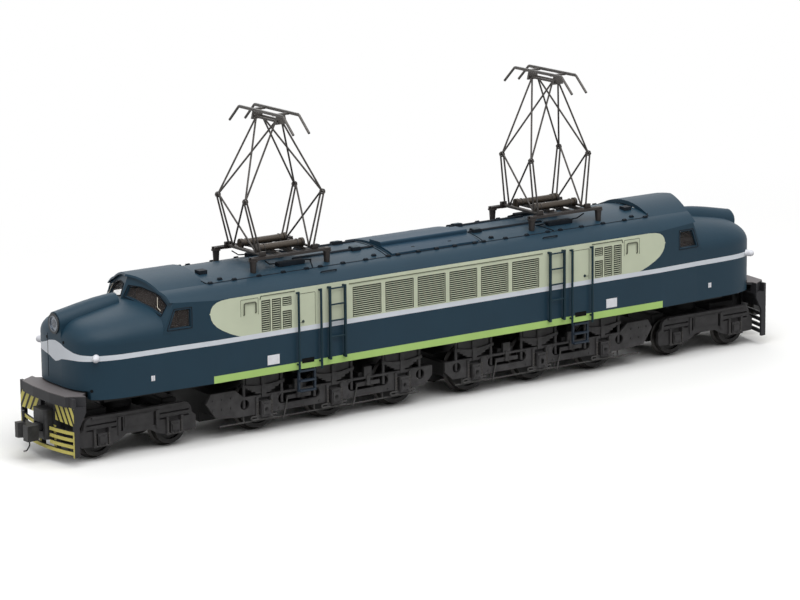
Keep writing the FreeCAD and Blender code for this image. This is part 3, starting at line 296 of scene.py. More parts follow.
def paintFrames(key, name, dark, light, shadeBand):
    tree, place = newMaterial(key, name)
    look = frameLook
    face = mottled(tree, place, dark, light, look["cloud"])
    share = add(tree, "MapRange", threeWays(tree, place)[1], *shadeBand)
    grain = add(tree, "TexNoise", place, 1 / look["grain"], 2.0)
    coat(tree, overlay(tree, look["deep"], (share, face)), grain, look["rough"],
         {"Specular IOR Level": look["gloss"]}, grain, look["bump"])


# head lamp: a near-black bezel round a plated bowl, which throws the light of the room back through the glass
headLampLook = {"bezel": "#0e161c", "plated": "#7d838b", "edge": 2.2, "lampZ": 37.0, "metal": 0.8,
                "rough": (0.48, 0.25)}


def paintHeadLamp():
    tree, place = newMaterial("headLamp", "plated_bowl_in_a_painted_bezel")
    look = headLampLook
    facePlace = add(tree, "VectorMath", place, (0, 1, 1), operation="MULTIPLY")
    reach = add(tree, "VectorMath", facePlace, (0, 0, look["lampZ"]), operation="DISTANCE")
    inside = add(tree, "Math", reach, look["edge"], operation="LESS_THAN")
    coat(tree, overlay(tree, look["bezel"], (inside, look["plated"])), inside, look["rough"],
         {"Metallic": add(tree, "Math", inside, look["metal"], operation="MULTIPLY")})


# browned steel, with the spring tubes above the base left in a lighter plated finish
baseLook = {"brown": "#272220", "tube": "#3d352c", "tubeFrom": 49.9, "tubeY": (3.4, 5.8), "metal": 0.3,
            "rough": (0.5, 0.34), "bump": 0.15}


def paintBase():
    tree, place = newMaterial("base", "browned_steel_with_plated_spring_tubes")
    look = baseLook
    _, across, height = threeWays(tree, place)
    tube = allOf(tree, add(tree, "Math", height, look["tubeFrom"], operation="GREATER_THAN"),
                 band(tree, across, *look["tubeY"]))
    grain = add(tree, "TexNoise", place, 4.0, 3.0)
    tone = add(tree, "MapRange", grain, 0.0, 1.0, 0.85, 1.15)
    colour = overlay(tree, look["brown"], (tube, look["tube"]))
    coat(tree, add(tree, "VectorMath", colour, tone, operation="SCALE"), tube, look["rough"],
         {"Metallic": look["metal"]}, grain, look["bump"])


# clear moulded acrylic: a thin pane that shows the cab through it, with a faint grey veil and sharp highlights
glazingLook = {"veil": "#8a817d", "rough": (0.03, 0.1), "sockets": {"Alpha": 0.08, "IOR": 1.49}}
# lamp glass: clear and slightly domed, with faint ribs and a bright plated bowl behind it
lensLook = {"glass": "#6f747e", "rough": 0.08, "sockets": {"Alpha": 0.7, "IOR": 1.45}, "bump": 0.15}


def clearGlazing():
    tree, place = newMaterial("glazing", "clear_moulded_acrylic")
    smear = add(tree, "TexNoise", place, 0.3, 2.0)
    coat(tree, glazingLook["veil"], smear, glazingLook["rough"], glazingLook["sockets"])


def clearLens():
    tree, place = newMaterial("lens", "pressed_lamp_glass")
    ribs = add(tree, "TexWave", place, 0.5, 0.4, bands_direction="Y").outputs["Fac"]
    coat(tree, lensLook["glass"], None, lensLook["rough"], lensLook["sockets"], ribs, lensLook["bump"], 0.1)


# matt backdrop paper: white to the eye, greyer in what it throws back on the model's flanks; far from the model
# it is plain white, and near it keeps the shadow
floorLook = {"seen": "#f3f3f2", "bounce": "#8f8f8e", "fade": (90.0, 300.0), "squeeze": 0.62, "rough": (0.8, 0.95)}


# 1 for what the camera sees, also in gloss or through glass
def seenRays(tree):
    path = add(tree, "LightPath").outputs
    seen = path["Is Camera Ray"]
    for name in ("Is Glossy Ray", "Is Transmission Ray"):
        seen = add(tree, "Math", seen, path[name], operation="MAXIMUM")
    return seen


def paintFloor():
    tree, place = newMaterial("floor", "pale_backdrop_paper")
    look = floorLook
    seen = seenRays(tree)
    rough = add(tree, "MapRange", add(tree, "TexNoise", place, 0.4, 2.0), 0.0, 1.0, *look["rough"])
    paper = add(tree, "BsdfPrincipled", {"Base Color": overlay(tree, look["bounce"], (seen, look["seen"])),
                                         "Roughness": rough, "Specular IOR Level": 0.0})
    ground = add(tree, "VectorMath", place, (look["squeeze"], 1.0, 0.0), operation="MULTIPLY")
    reach = add(tree, "VectorMath", ground, operation="LENGTH")
    fade = add(tree, "MapRange", reach, *look["fade"], interpolation_type="SMOOTHSTEP")
    white = add(tree, "Emission", (1, 1, 1, 1), 1.0)
    add(tree, "OutputMaterial", add(tree, "MixShader", allOf(tree, fade, seen), paper, white))


for paintPiece in (paintLivery, paintPilot, paintLouvres, paintHeadLamp, paintBase, clearGlazing, clearLens,
                   paintFloor):
    paintPiece()
turnWheels("driver", "blackened_turned_steel_drivers", drivers, 6.7)
turnWheels("guide", "blackened_turned_steel_guides", guides, 5.25)
for name in ("power", "guide"):
    paintFrames(*frameLook[name])
# what each CAD node is painted with, by the start of its name
nodePaints = {
    "body_shell": "livery", "louvre": "louvre", "corner_lamps": "lamp", "roof_hatch": "roof", "roof_vents": "vent",
    "chassis": "chassis", "truck_pivots": "chassis", "motor": "chassis", "side_ladders": "rail",
    "door_handrails": "rail", "door_steps": "step", "cab_glazing": "glazing", "head_lamp": "headLamp",
    "pilot": "pilot", "draft_box": "coupler", "coupler": "coupler", "power_truck": "powerFrame",
    "guide_truck": "guideFrame", "guide_wheels": "guide", "driver": "driver", "collector": "bow",
    "pantograph_base": "base", "lower_arm": "pantograph", "upper_arm": "pantograph",
}
for node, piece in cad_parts.items():
    paint = next(paint for start, paint in nodePaints.items() if node.startswith(start))
    piece.data.materials.clear()
    piece.data.materials.append(paints[paint])
print("frame painted")


# shapes that repeat or follow a path, grown by Geometry Nodes
coilSteps, coilSides, bendSteps = 14, 6, 4


def startTree(name, sizes):
    tree = bpy.data.node_groups.new(name, "GeometryNodeTree")
    for label, kind in {"Geometry": "Geometry", **sizes, "Material": "Material"}.items():
        tree.interface.new_socket(label, in_out="INPUT", socket_type="NodeSocket" + kind)
    tree.interface.new_socket("Geometry", in_out="OUTPUT", socket_type="NodeSocketGeometry")
    return tree, add(tree, "NodeGroupInput").outputs


def endTree(tree, given, shape):
    whole = add(tree, "GeometryNodeRealizeInstances", shape)
    add(tree, "NodeGroupOutput", add(tree, "GeometryNodeSetMaterial", whole, True, given["Material"]))
    return tree


def tubeAlong(tree, curve, sides, radius):
    ring = add(tree, "GeometryNodeCurvePrimitiveCircle", sides, radius)
    tube = add(tree, "GeometryNodeCurveToMesh", {"Curve": curve, "Profile Curve": ring, "Fill Caps": True})
    return add(tree, "GeometryNodeSetShadeSmooth", tube, True, True)


# closes a tree with one thing set on each point, standing on the surface with its length along the loco
def standOnPoints(tree, given, thing):
    facing = add(tree, "GeometryNodeInputNamedAttribute", "facing", data_type="FLOAT_VECTOR")
    turn = add(tree, "FunctionNodeAlignRotationToVector", {"Vector": facing}, axis="Z")
    turn = add(tree, "FunctionNodeAlignRotationToVector", {"Rotation": turn, "Vector": (1, 0, 0)}, axis="X",
               pivot_axis="Z")
    placed = {"Points": given["Geometry"], "Instance": thing, "Rotation": turn}
    return endTree(tree, given, add(tree, "GeometryNodeInstanceOnPoints", placed))


# wire, pipe or bead along the edges of a mesh, with its corners bent round
def bentWireTree():
    tree, given = startTree("bent_wire", {"Thickness": "Float", "Bend": "Float", "Sides": "Int"})
    line = add(tree, "GeometryNodeMeshToCurve", given["Geometry"])
    line = add(tree, "GeometryNodeFilletCurve", line, bendSteps, given["Bend"], True, mode="POLY")
    half = add(tree, "Math", given["Thickness"], 0.5, operation="MULTIPLY")
    return endTree(tree, given, tubeAlong(tree, line, given["Sides"], half))


# bolt heads, rivets, lugs and small boxes: a tapered stud on each point, with four sides or more
def studTree():
    tree, given = startTree("surface_studs", {"Foot": "Float", "Top": "Float", "Height": "Float", "Sides": "Int",
                                              "Stretch": "Vector"})
    stud = add(tree, "GeometryNodeMeshCone", given["Sides"], 1, 1, given["Top"], given["Foot"], given["Height"])
    for change in ({"Rotation": (0, 0, math.pi / 4)}, {"Scale": given["Stretch"]}):
        stud = add(tree, "GeometryNodeTransform", {"Geometry": stud, **change})
    return standOnPoints(tree, given, stud)


def springTree():
    tree, given = startTree("coil_springs", {"Radius": "Float", "Wire": "Float", "Height": "Float", "Turns": "Float"})
    radius = given["Radius"]
    coil = add(tree, "GeometryNodeCurveSpiral", coilSteps, given["Turns"], radius, radius, given["Height"])
    return standOnPoints(tree, given, tubeAlong(tree, coil, coilSides, given["Wire"]))


bentWire, surfaceStuds, coilSprings = bentWireTree(), studTree(), springTree()


# lines in mm, each a list of points; a line that starts and ends on one point is closed
def lineMesh(name, lines):
    spots, edges = [], []
    for line in lines:
        closed = line[0] == line[-1]
        first, run = len(spots), line[:-1] if closed else line
        spots += [at(*p) for p in run]
        edges += [(first + k, first + (k + 1) % len(run)) for k in range(len(run) if closed else len(run) - 1)]
    mesh = bpy.data.meshes.new(name)
    mesh.from_pydata(spots, edges, [])
    return mesh


# points in mm with the way that each faces
def spotMesh(name, spots):
    mesh = bpy.data.meshes.new(name)
    mesh.from_pydata([at(*p) for p, _ in spots], [], [])
    facing = mesh.attributes.new("facing", "FLOAT_VECTOR", "POINT")
    for k, (_, way) in enumerate(spots):
        facing.data[k].vector = way
    return mesh


# a tree's sizes in mm go in as metres
def grow(name, body, mesh, tree, paint, millimetres, others):
    piece = bpy.data.objects.new(name, mesh)
    bpy.context.collection.objects.link(piece)
    modifier = piece.modifiers.new("grow", "NODES")
    modifier.node_group = tree
    values = {**{label: size / 1000 for label, size in millimetres.items()}, **others, "Material": paints[paint]}
    for socket in tree.interface.items_tree:
        if socket.in_out == "INPUT" and socket.name in values:
            modifier[socket.identifier] = values[socket.name]
    bpy.context.view_layer.update()
    grown = bpy.data.meshes.new_from_object(piece.evaluated_get(bpy.context.evaluated_depsgraph_get()))
    piece.modifiers.clear()
    piece.data = grown
    grown.name = name
    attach(piece, body)


# a wire is its thickness, the bend at its corners and its sides
def wires(name, lines, wire, paint, body="loco_body"):
    thickness, bend, sides = wire
    grow(name, body, lineMesh(name, lines), bentWire, paint, {"Thickness": thickness, "Bend": bend},
         {"Sides": sides})


# a stud is its radius at the foot and the top, its height, its sides, and its stretch along the loco and across
def studs(name, spots, stud, paint, body="loco_body"):
    foot, top, height, sides, stretch = stud
    grow(name, body, spotMesh(name, spots), surfaceStuds, paint, {"Foot": foot, "Top": top, "Height": height},
         {"Sides": sides, "Stretch": (*stretch, 1.0)})


def settle(name, body, shape, paint, smooth=False):
    mesh = bpy.data.meshes.new(name)
    shape.to_mesh(mesh)
    shape.free()
    mesh.materials.append(paints[paint])
    if smooth:
        mesh.shade_smooth()
    piece = bpy.data.objects.new(name, mesh)
    bpy.context.collection.objects.link(piece)
    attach(piece, body)


# flat shapes with softened edges: each is an outline in mm, the way it is pushed out, and the rounding
def slabs(name, parts, paint, body="loco_body"):
    whole = bmesh.new()
    for outline, push, soften in parts:
        part = bmesh.new()
        low = [part.verts.new(at(*p)) for p in outline]
        high = [part.verts.new(at(*p) + Vector(push) * 0.001) for p in outline]
        part.faces.new(low)
        part.faces.new(list(reversed(high)))
        for k in range(len(low)):
            part.faces.new((low[k - 1], high[k - 1], high[k], low[k]))
        bmesh.ops.bevel(part, geom=part.edges[:], offset=soften / 1000, segments=2, affect="EDGES", profile=0.5)
        bmesh.ops.recalc_face_normals(part, faces=part.faces[:])
        held = bpy.data.meshes.new("held")
        part.to_mesh(held)
        whole.from_mesh(held)
        part.free()
        bpy.data.meshes.remove(held)
    settle(name, body, whole, paint)


# outlines of oblongs that stand along the loco, or lie flat
def upright(x0, x1, y, z0, z1):
    return [(x0, y, z0), (x1, y, z0), (x1, y, z1), (x0, y, z1)]


def flat(x0, x1, y0, y1, z):
    return [(x0, y0, z), (x1, y0, z), (x1, y1, z), (x0, y1, z)]


# turned shapes: profiles of (radius, reach) in mm, from a middle point along X
def turned(name, parts, paint, count=28):
    whole = bmesh.new()
    for (x, y, z), way, profile in parts:
        angles = [2 * math.pi * k / count for k in range(count)]
        rings = [[whole.verts.new(at(x + way * reach, y + radius * math.cos(a), z + radius * math.sin(a)))
                  for a in angles] for radius, reach in profile]
        for near, far in zip(rings, rings[1:]):
            for k in range(count):
                whole.faces.new((near[k - 1], far[k - 1], far[k], near[k]))
        whole.faces.new(rings[0])
        whole.faces.new(list(reversed(rings[-1])))
    bmesh.ops.recalc_face_normals(whole, faces=whole.faces[:])
    settle(name, "loco_body", whole, paint, smooth=True)


# the body's skin, to lay beads and lugs on, and places in mm that are well clear of it
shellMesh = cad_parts["body_shell"].data
skin = BVHTree.FromPolygons([v.co for v in shellMesh.vertices], [p.vertices for p in shellMesh.polygons])
aboveRoof, besideFlank, beforeNose = 60.0, 30.0, 160.0


# the spot on the skin, in mm, met from a point outside by going one way, and the way the skin faces there
def onSkin(spot, way, lift=0.0):
    place, facing, _, _ = skin.ray_cast(at(*spot), Vector(way))
    if place is None:
        return None
    place = place * 1000 + facing * lift
    return (place.x, place.y, place.z - flangeDepth), facing


def onRoof(x, y, lift=0.0):
    return onSkin((x, y, aboveRoof), down, lift)


def onFlank(x, z, side):
    return onSkin((x, side * besideFlank, z), (0, -side, 0))


def pointsBetween(start, end, step):
    count = max(1, round((Vector(end) - Vector(start)).length / step))
    return [tuple(Vector(start).lerp(Vector(end), k / count)) for k in range(count + 1)]


# a run laid on the skin, seen from one side of it
def skinRun(turns, way, step=2.0, lift=0.0):
    run = []
    for start, end in zip(turns, turns[1:]):
        run += pointsBetween(start, end, step)[:-1]
    run.append(turns[-1])
    found = [onSkin(spot, way, lift) for spot in run]
    line = [hit[0] for hit in found if hit]
    return line[:-1] + [line[0]] if turns[0] == turns[-1] else line


def roofRun(spots, **laid):
    return skinRun([(x, y, aboveRoof) for x, y in spots], down, **laid)


def flankRun(spots, side, sign=1, **laid):
    return skinRun([(sign * x, side * besideFlank, z) for x, z in spots], (0, -side, 0), **laid)


# roof: seam beads with their lugs, cable pipes, boxes and grab bars
roofLook = {
    "wires": {"seam_beads": (0.32, 0.3, 6), "cable_pipes": (0.7, 0.5, 8), "cross_pipes": (0.35, 0.3, 6),
              "grab_bars": (0.38, 0.35, 8)},
    "seamY": 12.5, "seamEnd": 79.8, "seamCorner": (1.2, 1.5),
    "lugs": (0.0, 6.5, 13.7, 17.0, 25.0, 32.9, 40.7, 45.4, 53.3, 61.5, 69.7, 77.7),
    "innerLugs": ((73.6, 11.0), (21.0, 10.8), (6.6, 9.8)), "lugSink": -0.1,
    "lug": (0.62, 0.4, 0.65, 4, (1.9, 1.0)),
    "pipeY": 4.75, "pipes": ((-45.0, -17.2), (17.2, 44.0)), "pipeLift": 0.25, "pipeDip": 0.4,
    "boxes": (-23.6, 19.7), "box": (1.7, 1.5, 1.05, 4, (1.3, 1.0)),
    "lid": (1.35, 1.2, 0.2, 4, (1.3, 1.0)), "lidRise": 0.95,
    "hatchLines": (16.2, 17.3), "cross": (((40.7, 7.3), (43.1, 12.2)), ((44.4, 5.4), (47.6, 8.8))),
    "grabX": (37.0, 42.2), "grabY": 15.05, "grabOut": (0.375, 0.325),
    "valve": (3.5, 1.5, 1.2), "valveX": 49.2, "valveSoft": 0.25,
}


def roofLines():
    look = roofLook
    (short, tuck), (long, wide, tall), sink = look["seamCorner"], look["valve"], look["lugSink"]
    beads, pipes, cross, bars, blocks, lugs = [], [], [], [], [], []
    for side in flanks:
        y, reach = side * look["seamY"], look["seamEnd"]
        tucked = y - side * tuck
        beads.append(roofRun([(-reach, tucked), (-reach + short, y), (reach - short, y), (reach, tucked)], step=2.5))
        y = side * look["pipeY"]
        for low, high in look["pipes"]:
            line = roofRun([(low, y), (high, y)], step=3.0, lift=look["pipeLift"])
            foot, last = ((spot[0], y, spot[2] - look["pipeDip"]) for spot in (line[0], line[-1]))
            pipes.append([foot] + line + [last])
        for _, sign in ends:
            cross += [roofRun([(sign * x, side * y) for x, y in run], lift=0.1) for run in look["cross"]]
            near, far = (Vector(onRoof(sign * x, side * look["grabY"])[0]) for x in look["grabX"])
            out = Vector((0, side * look["grabOut"][0], look["grabOut"][1]))
            bars.append([tuple(spot) for spot in (near, near + out, far + out, far)])
    for _, sign in ends:
        for x in look["hatchLines"]:
            beads.append(roofRun([(sign * x, -look["seamY"]), (sign * x, look["seamY"])], step=1.5))
        x = sign * look["valveX"]
        foot = onRoof(x, 0)[0][2] - 0.1
        blocks.append((flat(x - long, x + long, -wide, wide, foot), (0, 0, tall), look["valveSoft"]))
    for (name, wire), lines in zip(look["wires"].items(), (beads, pipes, cross, bars)):
        wires("roof_" + name, lines, wire, "rubber")
    slabs("roof_valve_blocks", blocks, "rubber")
    for x, y in [(x, look["seamY"]) for x in look["lugs"]] + list(look["innerLugs"]):
        lugs += [onRoof(sign * x, side * y, sink) for sign in (flanks if x else (1,)) for side in flanks]
    boxes = [onRoof(x, side * look["pipeY"], sink) for x in look["boxes"] for side in flanks]
    lids = [((x, y, z + look["lidRise"]), way) for (x, y, z), way in boxes]
    studs("roof_seam_lugs", lugs, look["lug"], "rubber")
    studs("roof_cable_boxes", boxes, look["box"], "rubber")
    studs("cable_box_lids", lids, look["lid"], "rail")


roofLines()
print("roof lines, lugs and pipes laid")

# cab: beads round the panes, and the wipers
cabLook = {
    "screen": ((1.0, 41.9), (3.7, 41.4), (9.7, 39.9), (14.5, 38.3), (15.2, 41.2), (12.3, 43.1), (10.4, 43.8),
               (5.7, 44.8), (1.5, 44.9)),
    "plane": (99.3, 0.37, 0.39, 41.6), "proud": 0.1, "outside": 0.25,
    "window": ((87.0, 34.3), (94.9, 34.3), (92.6, 40.2), (87.0, 40.2), (87.0, 34.3)), "gasket": (0.3, 0.25, 6),
    "wiper": ((14.5, 39.6), (13.1, 40.4), (12.1, 43.0)), "wiperWire": (0.2, 0.4, 6), "wiperProud": 0.45,
}


# the spot on the sloping screen at a distance from the middle and a height, a little in front of it
def onScreen(sign, side, y, z, proud):
    x, acrossLean, upLean, middle = cabLook["plane"]
    return sign * (x - acrossLean * y - upLean * (z - middle) + proud), side * y, z


def cabTrim():
    look = cabLook
    gaskets, wipers, loop = [], [], []
    middle = sum((Vector(spot) for spot in look["screen"]), Vector((0, 0))) / len(look["screen"])
    for spot in look["screen"]:
        wide = Vector(spot) - middle
        loop.append(middle + wide * (1 + look["outside"] / wide.length))
    for sign, side in corners:
        gaskets.append([onScreen(sign, side, *spot, look["proud"]) for spot in loop + loop[:1]])
        wipers.append([onScreen(sign, side, *spot, look["wiperProud"]) for spot in look["wiper"]])
        gaskets.append(flankRun(look["window"], side, sign, step=1.0))
    wires("window_gaskets", gaskets, look["gasket"], "rubber")
    wires("screen_wipers", wipers, look["wiperWire"], "wiper")


# behind the panes: a bulkhead, a desk under the screen, and two seats
insideLook = {"bulkheadX": 84.6, "half": 15.6, "low": 19.6, "high": 42.5, "eave": (4.5, 3.5), "wallThick": 0.8,
              "deskX": (92.2, 95.6), "deskTop": (33.2, 34.0), "seatX": 87.2, "seatY": 8.2, "seatTop": 31.0,
              # outline, way it is pushed out, rounding
              "seat": (((0, -2.2, 0), (0, 2.2, 0), (3.6, 2.0, -0.2), (3.6, -2.0, -0.2)), (0, 0, 0.9), 0.3),
              "back": (((0, -2.0, 0), (0, 2.0, 0), (-0.6, 1.7, 5.4), (-0.6, -1.7, 5.4)), (0.7, 0, 0), 0.25),
              "foot": (1.2, 2.6, 0.8)}


def cabInside():
    look = insideLook
    half, low, high, top, parts = look["half"], look["low"], look["high"], look["seatTop"], []
    for _, sign in ends:
        x, (inwards, drop) = sign * look["bulkheadX"], look["eave"]
        wall = [(-half, low), (half, low), (half, high - drop), (half - inwards, high), (-half + inwards, high),
                (-half, high - drop)]
        parts.append(([(x, y, z) for y, z in wall], (sign * look["wallThick"], 0, 0), 0.15))
        near, far = (sign * x for x in look["deskX"])
        desk = [(near, low), (near, look["deskTop"][0]), (far, look["deskTop"][1]), (far, low)]
        parts.append(([(x, 1 - half, z) for x, z in desk], (0, 2 * half - 2, 0), 0.25))
        for side in flanks:
            x, y = sign * look["seatX"], side * look["seatY"]
            for outline, push, soften in (look["seat"], look["back"]):
                parts.append(([(x + sign * dx, y + dy, top + dz) for dx, dy, dz in outline],
                              (sign * push[0], 0, push[2]), soften))
            near, far, width = look["foot"]
            foot = flat(x + sign * near, x + sign * far, y - width, y + width, low)
            parts.append((foot, (0, 0, top - low + 0.2), 0.2))
    slabs("cab_interiors", parts, "cab")


lampLook = {"x": 120.8, "z": 37.0, "lens": ((2.1, -0.45), (2.05, -0.2), (1.7, 0.0), (1.1, 0.12), (0.4, 0.18))}


def lampGlass():
    lenses = [((sign * lampLook["x"], 0, lampLook["z"]), sign, lampLook["lens"]) for _, sign in ends]
    turned("head_lamp_lenses", lenses, "lens")


cabTrim()
cabInside()
lampGlass()
print("cabs trimmed and fitted")

# flanks: rails over the louvres, black rims round the grilles as a painted shadow, door joints and handles, grab
# irons, recesses painted black as shade, bare plates and sockets; places are given for one end, as (x, z), and plates
# as (x, x, z, z)
flankLook = {
    "wires": {"grille_shadow_rims": ("slot", (0.17, 0.1, 6)), "louvre_gutters": ("groove", (0.3, 0.2, 6)),
              "door_joints": ("groove", (0.16, 0.2, 6)), "hatch_grab_irons": ("iron", (0.36, 0.5, 8))},
    "gutterSmall": ((64.8, 39.4), (64.5, 40.3), (53.1, 40.3)), "gutterLong": ((-34.6, 39.9), (34.6, 39.9)),
    "gutterLift": 0.05, "door": ((46.2, 29.9), (46.2, 39.2), (52.0, 39.2), (52.0, 29.9)),
    "handle": (50.4, 31.1), "lever": (1.2, 0.5, 0.1), "lock": (0.45, 0.35, 0.25, 10, (1.0, 1.0)),
    "iron": ((70.2, 35.6), (70.2, 39.0), (66.3, 39.0), (66.3, 35.8)), "ironOut": 0.35,
    "hatch": ((71.2, 35.2), (71.2, 40.0), (65.4, 40.0), (65.4, 35.2)), "plateY": 17.98,
    "recess": (46.8, 51.0, 18.9, 20.3), "recessOut": 0.08, "plate": (58.6, 62.6, 20.05, 22.8), "plateOut": 0.14,
    "mark": 99.65, "markShift": 0.31, "markHalf": 0.26, "markZ": (20.8, 22.3),
    "grilles": [(-33.25 + 11.35 * k, 9.75, 30.1, 38.7) for k in range(6)], "rimY": 18.0,
    "endGrilles": [(54.325, 2.85, 30.0, 34.98), (54.325, 2.85, 36.58, 38.9), (57.875, 2.85, 30.0, 38.9),
                   (61.425, 2.85, 30.0, 38.9)],
}
noseLook = {"sockets": ((4.6, 32.4), (13.5, 19.8)), "socket": (0.5, 0.42, 0.12, 14, (1.0, 1.0)), "joint": 4.2,
            "jointZ": (19.6, 33.6), "jointWire": (0.3, 0.3, 6), "jointSink": -0.06, "socketSink": -0.05}


def flankFittings():
    look = flankLook
    gutters, joints, irons, handles, plates, recessShades, rims = ([] for _ in range(7))
    lift, (leverX, leverOut, leverDrop), (low, high) = look["gutterLift"], look["lever"], look["markZ"]
    for side in flanks:
        gutters.append(flankRun(look["gutterLong"], side, step=8, lift=lift))
        for _, sign in ends:
            gutters.append(flankRun(look["gutterSmall"], side, sign, step=4, lift=lift))
            joints += [flankRun(look["door"], side, sign, step=3), flankRun(look["hatch"], side, sign, step=2)]
            spot, facing = onFlank(sign * look["handle"][0], look["handle"][1], side)
            handles.append((spot, facing))
            (x, y, z), out = spot, side * leverOut
            joints.append([spot, (x, y + out, z), (x + sign * leverX, y + out, z - leverDrop)])
            feet = [onFlank(sign * x, z, side)[0] for x, z in look["iron"]]
            irons.append([feet[0]] + [(x, y + side * look["ironOut"], z) for x, y, z in feet] + [feet[-1]])
            for name, kind in (("recess", recessShades), ("plate", plates)):
                x0, x1, z0, z1 = look[name]
                outline = upright(sign * x0, sign * x1, side * look["plateY"], z0, z1)
                kind.append((outline, (0, side * look[name + "Out"], 0), 0.025))
            for shift in (-look["markShift"], look["markShift"]):
                x, half = sign * look["mark"] + shift, look["markHalf"]
                y = onFlank(x, (low + high) / 2, side)[0][1]
                plates.append((upright(x - half, x + half, y, low, high), (0, side * 0.1, 0), 0.02))
    turnedRound = [(-x - width, width, low, high) for x, width, low, high in look["endGrilles"]]
    for x, width, low, high in look["grilles"] + look["endGrilles"] + turnedRound:
        for side in flanks:
            outline = upright(x, x + width, side * look["rimY"], low, high)
            rims.append(outline + outline[:1])
    for (name, (paint, wire)), lines in zip(look["wires"].items(), (rims, gutters, joints, irons)):
        wires(name, lines, wire, paint)
    studs("door_lock_plates", handles, look["lock"], "rail")
    slabs("side_bare_plates", plates, "plate")
    # a thin black sheet in each door step recess: a painted shade
    slabs("door_step_recess_shades", recessShades, "hole")


def noseFittings():
    look = noseLook
    joints, sockets = [], []
    for _, sign in ends:
        before, way = sign * beforeNose, (-sign, 0, 0)
        sockets += [onSkin((before, side * y, z), way, look["socketSink"])
                    for side in flanks for y, z in look["sockets"]]
        line = [(before, -sign * look["joint"], z) for z in look["jointZ"]]
        joints.append(skinRun(line, way, step=1.5, lift=look["jointSink"]))
    wires("nose_joint_lines", joints, look["jointWire"], "hole")
    studs("nose_pipe_sockets", sockets, look["socket"], "hole")


flankFittings()
noseFittings()
print("flanks fitted")

# trucks: what stands on the castings' outer faces, in rows. Each row has its places along the loco, its distance from
# the loco's middle, and what stands about each place: bolts, lids and springs as shifts and heights, rods as points
powerLook = {
    "spring": (0.34, 0.12, 4.1), "turns": 9.0, "rod": (0.5, 0.6, 8), "bolt": (0.34, 0.272, 0.25, 6, (1.0, 1.0)),
    "lid": (0.95, 0.75, 0.3, 16, (0.9, 1.15)),
    "springRows": [(drivers, 13.4, (-2.35, 2.35), (4.9,))],
    "lidRows": [(drivers, 14.4, (0.0,), (6.2,))],
    "boltRows": [(drivers, 14.4, (-1.05, 1.05), (4.7, 7.9)), ((25.0, 49.0), 13.1, (-6.912, 6.912), (9.75, 5.7)),
                 ((25.0, 49.0), 13.2, (-0.7, 0.7), (8.3,)), ((72.0, 75.0, 78.0), 13.1, (0.0,), (10.9, 8.0))],
    "rodRows": [(drivers, 13.45, ((-4.3, 4.4), (4.1, 4.3))), (drivers, 13.45, ((-4.3, 3.5), (4.1, 3.4))),
                (drivers, 13.45, ((-4.3, 4.4), (-4.6, 3.9), (-4.3, 3.5))),
                ((25.0, 49.0), 13.45, ((-4.2, 8.7), (-4.6, 6.6), (-5.5, 3.0), (-5.6, 2.5))),
                ((41.0,), 12.25, ((-34.5, 2.85), (34.5, 2.85))),
                ((9.0, 19.6, 43.4, 67.4), 12.25, ((0.0, 2.85), (0.0, 5.4)))],
}
leafLook = {"half": 7.0, "bottom": 12.3, "rise": 0.9, "thick": 0.5, "reaches": (5.3, 4.0, 2.7), "lap": 0.04,
            "leafY": 13.05, "guardY": 12.6, "guardHalf": 5.6, "guardZ": (13.0, 13.7, 15.8), "buckleY": 13.2,
            "buckleHalf": 0.7}
guideLook = {
    "spring": (0.3, 0.11, 3.4), "turns": 8.0, "rod": (0.45, 0.4, 8), "bolt": (0.3, 0.24, 0.22, 6, (1.0, 1.0)),
    "lid": (0.8, 0.6, 0.28, 16, (0.9, 1.1)),
    "springRows": [(guides, 12.45, (-2.2, 2.2), (4.0,))], "lidRows": [(guides, 12.9, (0.0,), (5.1,))],
    "boltRows": [(guides, 12.9, (-1.0, 1.0), (3.9, 6.4)), ((102.05,), 12.0, (-9.5, -3.2, 3.2, 9.5), (11.6,)),
                 ((102.05,), 12.2, (-3.6, -1.2, 1.2, 3.6), (8.4,))],
    "rodRows": [(guides, 12.55, ((-2.9, 3.6), (2.9, 3.6)))],
    "boxes": {"tank": (85.7, 90.6, 8.95, 12.2, 0.7), "bearer": (108.5, 118.0, 8.95, 12.6, 0.35)}, "boxHalf": 6.2,
}


def truckSpots(rows, sign, upwards=False):
    return [((sign * x + shift, side * y, z), (0, 0, 1) if upwards else (0, side, 0)) for side in flanks
            for places, y, shifts, heights in rows for x in places for shift in shifts for z in heights]


def truckSprings(body, look, sign):
    name, (radius, wire, height) = body + "_springs", look["spring"]
    coils = spotMesh(name, truckSpots(look["springRows"], sign, upwards=True))
    grow(name, body, coils, coilSprings, "spring", {"Radius": radius, "Wire": wire, "Height": height},
         {"Turns": look["turns"]})


def truckTrim(body, look, sign, rods):
    lines = [[(sign * x + shift, side * y, z) for shift, z in run] for side in flanks
             for places, y, run in look["rodRows"] for x in places]
    wires(body + rods, lines, look["rod"], "rod", body)
    studs(body + "_bolts", truckSpots(look["boltRows"], sign), look["bolt"], "truck", body)
    studs(body + "_box_lids", truckSpots(look["lidRows"], sign), look["lid"], "truck", body)


